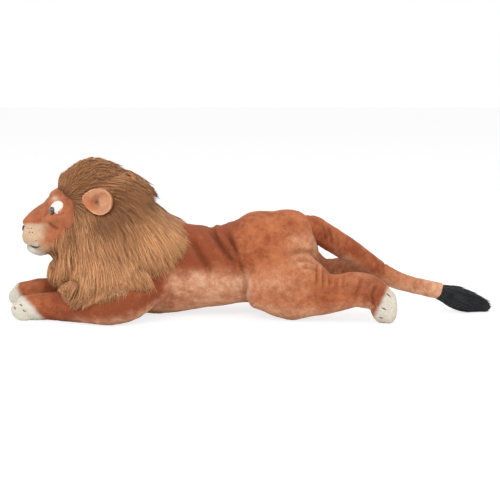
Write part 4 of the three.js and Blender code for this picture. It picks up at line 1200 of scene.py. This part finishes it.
def scattered(points, faces, count, rng):
    """Places spread evenly over a surface, with their normals."""
    tris = np.vstack([faces[1], faces[0][:, [0, 1, 2]], faces[0][:, [0, 2, 3]]])
    a, b, c = (points[tris[:, k]] for k in range(3))
    cross = np.cross(b - a, c - a)
    area = np.linalg.norm(cross, axis=1)
    pick = rng.choice(len(tris), count, p=area / area.sum())
    r1, r2 = np.sqrt(rng.random((count, 1))), rng.random((count, 1))
    place = (1 - r1) * a[pick] + r1 * (1 - r2) * b[pick] + r1 * r2 * c[pick]
    return place, unit(cross[pick])


def mane_forms(inset):
    """The fabric under the mane's hair: the mane, the beard, the crown over the forehead, curtains
    that hang from its lower half, and drapes over the sleeves. All lie `inset` below the outline."""
    s = sizes()
    rear = HINGES["head_turn"][0] + 0.230
    rows = [(rear - a * s.mane_length, 0, m * s.mane_height, max(h * s.mane_height - inset, 0.012),
             max(w * s.mane_width - inset, 0.02)) for a, m, h, w in MANE]
    beard_rear = rear - 0.85 * s.mane_length + 0.014
    beard = [(beard_rear - a * 0.104, 0, m * 0.130, h * 0.130 - inset * 0.8, w * 0.190 - inset * 0.8)
             for a, m, h, w in BEARD]
    crown = ellipsoid((rear - 0.253, 0, 0.300), (0.080, 0.080, 0.0710))
    forms = [stuffed(rows, 0.05 * s.mane_length, 80, 72), stuffed(beard, 0.018, 30, 48), crown]
    for drop, flare in CURTAIN:
        forms.append(stuffed([(x, y, z - drop, 0.66 * h, w + flare) for x, y, z, h, w in rows[3:]], 0.03, 60, 60))
    for side in SIDES.values():
        forms.append(stuffed([(x, side * y, z, h, w) for x, y, z, h, w in DRAPE], 0.018, 40, 40))
    return forms


# Lines of the mane in the side view: rows of column and row, and of row and column for the face
MANE_OUTLINE = [(50, 176), (62, 170), (70, 163), (78, 160), (92, 157), (100, 160), (112, 164), (122, 167),
                (128, 172), (134, 178), (146, 187), (158, 196), (170, 208), (178, 214), (186, 220), (194, 225)]
MANE_HEM = [(40, 262), (46, 275), (52, 284), (60, 291), (67, 306), (72, 309), (90, 306), (104, 299),
            (121, 289), (136, 288), (153, 291), (165, 281), (172, 264), (178, 246), (190, 240)]
FACE_EDGE = [(150, 30), (184, 40), (190, 61), (205, 70), (230, 70), (236, 66), (240, 59), (247, 51),
             (253, 44), (258, 36), (300, 36)]
ROWS_PER_METRE = 394
CHEST_HALF_WIDTH = 0.06
JAW_LOCKS = 16000
SLEEVE_LOCKS = 17000
LOCKS_PER_PIECE = 8800


def lie_of_mane(points, normals):
    """The way the hair lies, square to the normals. In the side view its angle below the horizontal
    goes from rising at the forehead to level over the skull and falling behind it. Lower down it
    falls steeply, and forward over the paws."""
    u, v = side_view(points).T
    over = table_at([(56, -100), (68, -66), (86, -12), (106, 18), (126, 40)], u)
    forward = 44 * rise(246, 280, v) * rise(122, 92, u) * (0.35 + 0.65 * rise(50, 76, u))
    beside = 66 - 16 * rise(135, 178, u) + forward + 8 * rise(250, 280, v)
    waves = 8 * drift(points, 0.05, 12) + 4 * drift(points, 0.018, 13)
    angle = np.radians(over + (beside - over) * rise(182, 222, v) + waves)
    aside = 0.12 * np.sign(points[:, 1]) * rise(0.0, 0.05, np.abs(points[:, 1]))
    wanted = np.stack([np.cos(angle), aside, -np.sin(angle)], -1)
    flow = unit(wanted - normals * (wanted * normals).sum(1, keepdims=True) + 1e-6)
    return flow, (flow * wanted).sum(1)


def above_hem(points, slack):
    """Whether places on the outer sides lie above the mane's hem in the side view."""
    u, v = side_view(points).T
    return (v < table_at(MANE_HEM, u) + slack) | (np.abs(points[:, 1]) < CHEST_HALF_WIDTH)


def under_outline(points, rng):
    """Hair above the mane's outline in the side view, laid down under it."""
    u, v = side_view(points).T
    over = np.clip(table_at(MANE_OUTLINE, u) + 3.0 * rng.random(len(points)) ** 2 - v, 0, None) * rise(62, 74, u)
    points[:, 2] -= 0.92 * over / ROWS_PER_METRE
    return points


def face_edge(points):
    """How far behind the edge of the face a place is, in picture places."""
    u, v = side_view(points).T
    return u - table_at(FACE_EDGE, v)


def over_arms(points):
    """Hair that would run into a foreleg, moved out to lie on its sleeve."""
    for side in SIDES.values():
        value, _ = along_curve(foreleg_stations(side), np.linspace(0, 1, 40))
        value = value[::-1]
        y, z, high, wide = (np.interp(points[:, 0], value[:, 0], value[:, k]) for k in (1, 2, 3, 4))
        near = (points[:, 1] * side > 0) & (points[:, 0] < value[-1, 0] + 0.02)
        off_y, off_z = (points[:, 1] - y) / (wide + 0.003), (points[:, 2] - z) / (high + 0.003)
        size = np.hypot(off_y, off_z)
        inside = near & (size < 1)
        off_y = np.where(inside, off_y + side * 0.5 * (1 - size), off_y)
        grown = np.maximum(np.hypot(off_y, off_z), 1e-3)
        points[:, 1] = np.where(inside, y + off_y / grown * (wide + 0.003), points[:, 1])
        points[:, 2] = np.where(inside, z + off_z / grown * (high + 0.003), points[:, 2])
    return points


def behind_ears(points):
    """Hair that would run through the cup of an ear, pressed down behind it."""
    for side in SIDES.values():
        n = EAR_FACING * [1, side, 1]
        off = points - ear_middle(side)
        out = off @ n
        across = np.linalg.norm(off - out[:, None] * n, axis=1)
        cup = 0.024 * np.clip(across / 0.033, 0, 1) ** 2.2 - 0.032
        over = rise(0.043, 0.030, across) * np.maximum(out - cup, 0) * (out < 0.05)
        points -= over[:, None] * n
    return points


def outside(points, tree, depth):
    """True where a place isn't deeper than `depth` inside a surface."""
    clear = np.ones(len(points), bool)
    for i, p in enumerate(points):
        place, normal, _, _ = tree.find_nearest(Vector(p))
        clear[i] = (Vector(p) - place).dot(normal) > -depth
    return clear


class LION_OT_mane(bpy.types.Operator):
    """Long-pile mane: a hood that turns with the head, and a cape on the shoulders"""

    bl_idname = "lion.mane"
    bl_label = "Mane"

    def execute(self, context):
        s = sizes()
        rng = np.random.default_rng(11)
        neck = HINGES["head_turn"]
        base = sewn("mane_base", mane_forms(inset=0.016), 0.0060, 20)
        base_points = points_of(base)
        ahead = (base_points - neck) @ HEAD_AXIS
        covered = above_hem(base_points, 2)
        hood = (ahead > -0.004) & (face_edge(base_points) > 1.0) & covered
        cape = (ahead < 0.008) & covered
        for name, keep, body, nodes in (("mane_backing_hood", hood, "head", ["mane_hood"]),
                                        ("mane_backing_cape", cape, "torso", ["mane_cape"])):
            backing, _ = cut_out(base, name, keep)
            move_points(backing, behind_ears(points_of(backing)))
            attribute(backing, "along", 0.35)
            attribute(backing, "tint", 0.3)
            finished(backing, material("mane"), body, nodes)
        skull = bpy.data.objects["head_skin"]
        place, lean = scattered(points_of(base), faces_of(base), s.mane_locks, rng)
        keep = (face_edge(place) > 0.5) & (place[:, 2] > 0.030) & above_hem(place, 0)
        place, lean = place[keep], lean[keep]
        keep = outside(place, surface_tree(skull), 0.004)
        keep &= (place[:, 0] < -0.26) | outside(place, surface_tree(bpy.data.objects["trunk_skin"]), 0.008)
        place, lean = place[keep], lean[keep]
        jaw, jaw_lean = scattered(points_of(skull), faces_of(skull), JAW_LOCKS, rng)
        u, v = side_view(jaw).T
        keep = (face_edge(jaw) > 0.5) & (u < 100) & (v > 222)
        jaw, jaw_lean = jaw[keep], jaw_lean[keep]
        keep = outside(jaw, surface_tree(base), 0.002)
        bpy.data.objects.remove(base)
        place, lean = np.vstack([place, jaw[keep]]), np.vstack([lean, jaw_lean[keep]])
        on_jaw = np.arange(len(place)) >= len(place) - keep.sum()
        ahead = ((place - neck) @ HEAD_AXIS > 0) | on_jaw
        self.strands("mane_hood_hair", place[ahead], lean[ahead], "head", rng)
        self.strands("mane_cape_hair", place[~ahead], lean[~ahead], "torso", rng)
        for word, side in SIDES.items():
            sleeve = bpy.data.objects[f"foreleg_skin_{word}"]
            place, lean = scattered(points_of(sleeve), faces_of(sleeve), SLEEVE_LOCKS, rng)
            u, v = side_view(place).T
            keep = (u > 60) & (u < 150) & (v < table_at(MANE_HEM, u) - 5)
            keep &= (lean[:, 1] * side > -0.15) & (place[:, 2] > 0.03)
            for hair in self.strands(f"mane_fringe_{word}", place[keep], lean[keep], None, rng):
                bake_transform(hair)
        return {"FINISHED"}

    @staticmethod
    def strands(name, roots, normals, body, rng):
        """Hair over the roots, lying along the mane's flow, long on the sides and short at the brow."""
        flow, along = lie_of_mane(roots, normals)
        u, v = side_view(roots).T
        rear = 0.12 * rise(140, 160, u) * rise(240, 228, v)
        front = 0.40 * rise(72, 64, u) * rise(244, 252, v) * rise(0.4, 0.7, normals[:, 2])
        keep = along > 0.45 + rear + front
        roots, normals, flow = roots[keep], normals[keep], flow[keep]
        u, v = side_view(roots).T
        brow = rise(92, 64, u) * rise(200, 182, v)
        crest = 0.30 * brow * rise(0.8, 0.3, -normals[:, 0]) + 0.08 * rise(126, 108, u) * rise(186, 170, v)
        lift = (0.13 + crest + 0.07 * rng.random(len(roots)) ** 3) * (1 - 0.5 * rise(128, 150, u))
        hem = table_at(MANE_HEM, u)
        length = sizes().pile_length * (1 + 0.25 * rise(200, 235, v))
        length = length * (1 - 0.40 * rise(150, 182, u)) * (1 - 0.62 * brow)
        length = np.minimum(length, np.maximum(hem - v, 5) / ROWS_PER_METRE + 0.014)
        first = unit(normals * lift[:, None] + flow * (1 - lift[:, None]))
        droop = 0.30 * rise(0.30, 0.12, roots[:, 2]) + 0.08 - 0.20 * brow
        last = unit(flow - UP * droop[:, None] - normals * (0.20 * (1 - brow))[:, None])
        tip_u, tip_v = side_view(roots + unit(first + last) * length[:, None]).T
        past = np.maximum(tip_v - table_at(MANE_HEM, tip_u) - 3, 0) * rise(88, 76, u)
        length = np.maximum(length - past / ROWS_PER_METRE, 0.010)
        pull = 0.35 + 0.35 * brow + 0.30 * rise(40, 12, hem - v)
        # Painted light and shade on the hair: lightened down the lower mane, which the lamps leave darker, and
        # darkened over the top of the head.
        glow = table_at([(192, -0.12), (230, 0.62), (252, 0.66), (274, 0.38), (300, 0.26)], v)
        # Less painted light towards the rear of the mane.
        glow -= 0.22 * rise(160, 176, u)
        # Painted shadow round the rear and top of each ear.
        ears = np.array([ear_middle(side) for side in SIDES.values()]) + (BACK + UP) * 0.005
        glow -= 0.7 * rise(0.052, 0.040, np.linalg.norm(roots[:, None] - ears, axis=2).min(1))
        made = []
        parts = max(1, math.ceil(len(roots) / LOCKS_PER_PIECE))
        for part, few in enumerate(np.array_split(np.arange(len(roots)), parts)):
            hair = combed(f"{name}_{part + 1}", roots[few], normals[few], first[few], last[few],
                          length[few], 0.0014, rng, pull[few], glow=glow[few] - 0.25)
            points = under_outline(behind_ears(over_arms(points_of(hair))), rng)
            points[:, 2] = np.maximum(points[:, 2], 0.003)
            move_points(hair, points)
            made.append(finished(hair, material("mane"), body, ()))
        return made


TAIL_CREASES = [
    ([(322, 224), (325, 232), (326, 242)], 1.6, 0.0036),
    ([(327, 226), (331, 235), (332, 246)], 1.6, 0.0034),
    ([(335, 232), (338, 240), (338, 250)], 1.5, 0.0022),
    ([(386, 262), (383, 268), (384, 276)], 1.3, 0.0024),
    ([(417, 279), (414, 286), (416, 293)], 1.5, 0.0018),
]
COLLAR = [(-0.030, 0.019), (-0.012, 0.0275), (0.006, 0.0308), (0.020, 0.0302)]


class LION_OT_tail(bpy.types.Operator):
    """Tail sleeve, its gathered collar and the tuft"""

    bl_idname = "lion.tail"
    bl_label = "Tail"

    def execute(self, context):
        pivot = HINGES["tail_lift"]
        rows = [(pivot[0] + a * sizes().tail_length, 0, h * pivot[2], 0.020 + g * 0.010, 0.020 + g * 0.010)
                for a, h, g in TAIL]
        direction = unit(np.array(rows[1][:3]) - np.array(rows[0][:3]))
        rows.insert(0, (*(np.array(rows[0][:3]) - direction * 0.026), 0.021, 0.021))
        points, faces = stuffed(rows, 0.010, 240, 72)
        tail = mesh_of("tail_skin", points, faces)
        normals = normals_of(tail)
        seen = side_view(points)
        depth = creased(seen, TAIL_CREASES)
        slack = 0.0010 * drift(points, 0.030, 1) + 0.0005 * drift(points, 0.011, 2)
        slack += 0.0003 * drift(points, 0.005, 3)
        move_points(tail, points + normals * (slack - depth)[:, None])
        lower = rise(0.1, -0.7, normals[:, 2])
        toward = rise(0.30, 0.47, points[:, 0])
        blotches = 1 + 0.5 * drift(points, 0.03, 4)
        toned(tail, pale=np.clip((lower * 0.55 * rise(326, 345, seen[:, 0]) + toward * 0.8) * blotches, 0, 1),
              dusk=rise(0.40, 0.22, points[:, 0]) * 0.6 * blotches, shade=np.clip(depth / 0.004, 0, 1) * 0.9)
        finished(tail, material("body"), None, ["tail_cover", "tail_stuffing"])
        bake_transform(tail)

        points, faces = stuffed([(*(pivot + direction * k), r, r) for k, r in COLLAR], 0.006, 50, 72)
        rel = points - pivot
        far = rel @ direction
        angle = np.arctan2(rel[:, 1], rel @ np.cross(direction, [0, 1, 0]))
        collar = mesh_of("tail_collar", points, faces)
        pleat = 0.0012 * np.sin(angle * 11 + 2 * drift(points, 0.02, 1)) * rise(-0.03, 0.0, far)
        move_points(collar, points + normals_of(collar) * (pleat - 0.004 * rise(0.010, 0.026, far))[:, None])
        toned(collar, dusk=0.5, shade=np.clip(-pleat / 0.0012, 0, 1) * 0.6)
        finished(collar, material("body"), None, ["tail_root"])
        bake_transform(collar)
        self.tuft()
        return {"FINISHED"}

    @staticmethod
    def tuft():
        s = sizes()
        rng = np.random.default_rng(5)
        pivot = HINGES["tuft_sway"]
        inset = 0.007
        rows = on_floor([(pivot[0] - 0.010 + a * s.tuft_length, 0, m * pivot[2], h * 0.033, w * 0.033)
                         for a, m, h, w in TUFT])
        rows[:, 3:] = np.maximum(rows[:, 3:] - inset, 0.004)
        points, faces = stuffed(rows, 0.008, 60, 40)
        core = mesh_of("tuft_core", points, faces)
        attribute(core, "along", 0.4)
        attribute(core, "tint", 0.3)
        finished(core, material("tuft"), "tuft", ["tail_tuft"])
        roots, normals = scattered(points, faces, s.tuft_locks, rng)
        middle = np.interp(roots[:, 0], rows[:, 0], rows[:, 2])
        tip = 0.614 - 0.026 * rng.random(len(roots))
        end = np.stack([tip, 0.6 * roots[:, 1], 0.011 + 0.62 * (roots[:, 2] - middle)], -1)
        toward = unit(end - roots)
        share = rise(rows[0, 0], rows[-1, 0], roots[:, 0])
        first = unit(toward + normals * 0.30 * rise(0.6, 0.0, share)[:, None])
        last = unit(toward - normals * 0.05)
        length = np.minimum(0.050, np.linalg.norm(end - roots, axis=1) - 0.008 * rng.random(len(roots)))
        hair = combed("tuft_hair", roots, normals, first, last, length, 0.0017, rng, 0.45, 0.007)
        points = points_of(hair)
        points[:, 2] = np.maximum(points[:, 2], 0.0012)
        points[:, 0] = np.minimum(points[:, 0], CAD_BOX[1][0] + 0.004)
        move_points(hair, points)
        finished(hair, material("tuft"), "tuft", ())


# Stitches, as lines of picture places

FORE_CLAWS = [[(14.2, 298.6), (15.2, 300.3), (16.6, 302.0)], [(13.6, 305.0), (14.5, 307.2), (15.8, 309.3)],
              [(22.6, 309.6), (24.2, 310.8), (26.0, 311.4)]]
HIND_CLAWS = [[(386.6, 293.2), (388.6, 295.2), (390.8, 297.2)], [(381.6, 307.4), (384.0, 308.8), (386.6, 309.8)],
              [(379.2, 317.2), (381.0, 317.9), (383.0, 318.0)]]
MOUTH = [(30.6, 245.0), (33.5, 246.4), (36.8, 247.2), (39.8, 246.2)]
WHISKER_DOTS = [(28.2, 228.2), (31.6, 228.4), (29.6, 232.2), (32.4, 232.4), (36.0, 240.6)]


def stitch(name, path, radius, body):
    """A short tapered thread along a path: rings of a circle whose radius rises and falls as the
    square root of a sine."""
    t = np.linspace(0, 1, 16)
    middle, slope = along_curve(path, t)
    along = unit(slope)
    ref = np.where(np.abs(along @ UP)[:, None] > 0.9, BACK, UP)
    aside = unit(np.cross(along, ref))
    over = np.cross(aside, along)
    angle = around(10)
    size = radius * np.sqrt(np.sin(np.clip(t, 0.02, 0.98) * math.pi))
    ring = np.cos(angle)[:, None] * aside[:, None] + np.sin(angle)[:, None] * over[:, None]
    grid = middle[:, None] + size[:, None, None] * ring
    points, faces = closed_tube(grid, middle[[0, -1]] + np.array([[-1], [1]]) * along[[0, -1]] * radius * 0.3)
    finished(mesh_of(name, points, faces), material("thread"), body)


class LION_OT_stitches(bpy.types.Operator):
    """Claw stitches on the toes, the mouth line and the whisker dots"""

    bl_idname = "lion.stitches"
    bl_label = "Stitches"

    def execute(self, context):
        radius = sizes().stitch_radius
        for word, side in SIDES.items():
            for end, lines, shift in (("fore", FORE_CLAWS, -paw_shift(side)), ("hind", HIND_CLAWS, 0.0)):
                tree = surface_tree(bpy.data.objects[f"{end}leg_skin_{word}"])
                for i, line in enumerate(lines):
                    place = sighted(tree, line, side, 0.0003, shift)
                    stitch(f"claw_{end}_{word}_{i + 1}", place, radius, f"{end}leg_{word}")
            self.face(word, side, radius)
        return {"FINISHED"}

    @staticmethod
    def face(word, side, radius):
        tree = surface_tree(bpy.data.objects["head_skin"])
        stitch(f"mouth_{word}", sighted(tree, MOUTH, side, 0.0006), radius * 1.9, "head")
        for i, place in enumerate(sighted(tree, WHISKER_DOTS, side)):
            points, faces = ellipsoid(place, (0.0014, 0.0014, 0.0014), 0.0, 12)
            dot = mesh_of(f"whisker_dot_{word}_{i + 1}", points, faces)
            finished(dot, material("thread"), "head")


# Stage

LAMPS = [("key_lamp", (-1.2, -2.2, 2.4), 1.8, 52), ("fill_lamp", (1.8, -2.0, 1.4), 2.0, 20),
         ("top_lamp", (0.2, 0.6, 2.6), 2.2, 26)]
FLOOR_REACH = 6.0
SENSOR = 36


class LION_OT_stage(bpy.types.Operator):
    """Pale floor, studio lamps and the camera"""

    bl_idname = "lion.stage"
    bl_label = "Stage"

    def execute(self, context):
        scene = context.scene
        scene.view_settings.view_transform = "Standard"
        world = bpy.data.worlds.new("studio")
        scene.world = world
        world.use_nodes = True
        tree = world.node_tree
        back = tree.nodes["Background"]
        path = tree.nodes.new("ShaderNodeLightPath")
        seen = tree.nodes.new("ShaderNodeMath")
        seen.operation = "MAXIMUM"
        tree.links.new(path.outputs["Is Camera Ray"], seen.inputs[0])
        tree.links.new(path.outputs["Is Glossy Ray"], seen.inputs[1])
        strength = tree.nodes.new("ShaderNodeMapRange")
        strength.inputs["To Min"].default_value = 0.62
        strength.inputs["To Max"].default_value = 1.0
        tree.links.new(seen.outputs[0], strength.inputs["Value"])
        tree.links.new(strength.outputs[0], back.inputs["Strength"])
        back.inputs["Color"].default_value = (1.0, 1.0, 1.0, 1.0)

        points = np.array([[-1, -1, 0], [1, -1, 0], [1, 1, 0], [-1, 1, 0]]) * FLOOR_REACH
        floor = mesh_of("floor", points, [np.array([[0, 1, 2, 3]])], False)
        w = Wires("floor_paper")
        grain = w.noise(w.place(), 30.0, 2.0)
        w.surface(w.mix(grain, (0.93, 0.93, 0.93), (0.95, 0.95, 0.95)), 1.0, Specular_IOR_Level=0.0)
        glow = w.node("ShaderNodeEmission", Strength=1.12)
        path = w.node("ShaderNodeLightPath")
        mix = w.node("ShaderNodeMixShader")
        w.feed(mix.inputs[0], w.math("MULTIPLY", path.outputs["Is Camera Ray"], 0.70))
        w.feed(mix.inputs[1], w.shader.outputs[0])
        w.feed(mix.inputs[2], glow.outputs[0])
        w.feed(w.tree.nodes["Material Output"].inputs["Surface"], mix.outputs[0])
        floor.data.materials.append(w.material)

        for name, at, width, power in LAMPS:
            lamp = bpy.data.objects.new(name, bpy.data.lights.new(name, "AREA"))
            lamp.data.size = width
            lamp.data.energy = power
            lamp.location = at
            lamp.rotation_euler = (Vector((0, 0, 0.12)) - Vector(at)).to_track_quat("-Z", "Y").to_euler()
            scene.collection.objects.link(lamp)

        camera = bpy.data.objects.new("camera", bpy.data.cameras.new("camera"))
        camera.location = VIEW_MIDDLE - VIEW_FORWARD * CAMERA_DISTANCE
        camera.rotation_euler = Vector(VIEW_FORWARD).to_track_quat("-Z", "Y").to_euler()
        camera.data.sensor_width = SENSOR
        camera.data.lens = SENSOR * CAMERA_DISTANCE / VIEW_WIDTH
        scene.collection.objects.link(camera)
        scene.camera = camera
        return {"FINISHED"}


class LION_PT_panel(bpy.types.Panel):
    """Lists the toy's sizes, colours and pieces"""

    bl_label = "Plush Lion"
    bl_idname = "LION_PT_panel"
    bl_space_type = "VIEW_3D"
    bl_region_type = "UI"
    bl_category = "Plush Lion"

    def draw(self, context):
        layout = self.layout
        for group in (context.scene.lion_sizes, context.scene.lion_colours):
            box = layout.box()
            for key in group.__annotations__:
                box.prop(group, key)
        for piece in PIECES:
            layout.operator(piece.bl_idname)


PIECES = (LION_OT_stage, LION_OT_skin, LION_OT_head, LION_OT_muzzle, LION_OT_eyes, LION_OT_ears,
          LION_OT_tail, LION_OT_mane, LION_OT_stitches)
CLASSES = (LionSizes, LionColours, *PIECES, LION_PT_panel)


def register():
    for cls in CLASSES:
        bpy.utils.register_class(cls)
    bpy.types.Scene.lion_sizes = PointerProperty(type=LionSizes)
    bpy.types.Scene.lion_colours = PointerProperty(type=LionColours)


def unregister():
    del bpy.types.Scene.lion_sizes
    del bpy.types.Scene.lion_colours
    for cls in reversed(CLASSES):
        bpy.utils.unregister_class(cls)


def main():
    register()
    for piece in PIECES:
        group, name = piece.bl_idname.split(".")
        getattr(getattr(bpy.ops, group), name)()


if __name__ == "__main__":
    main()
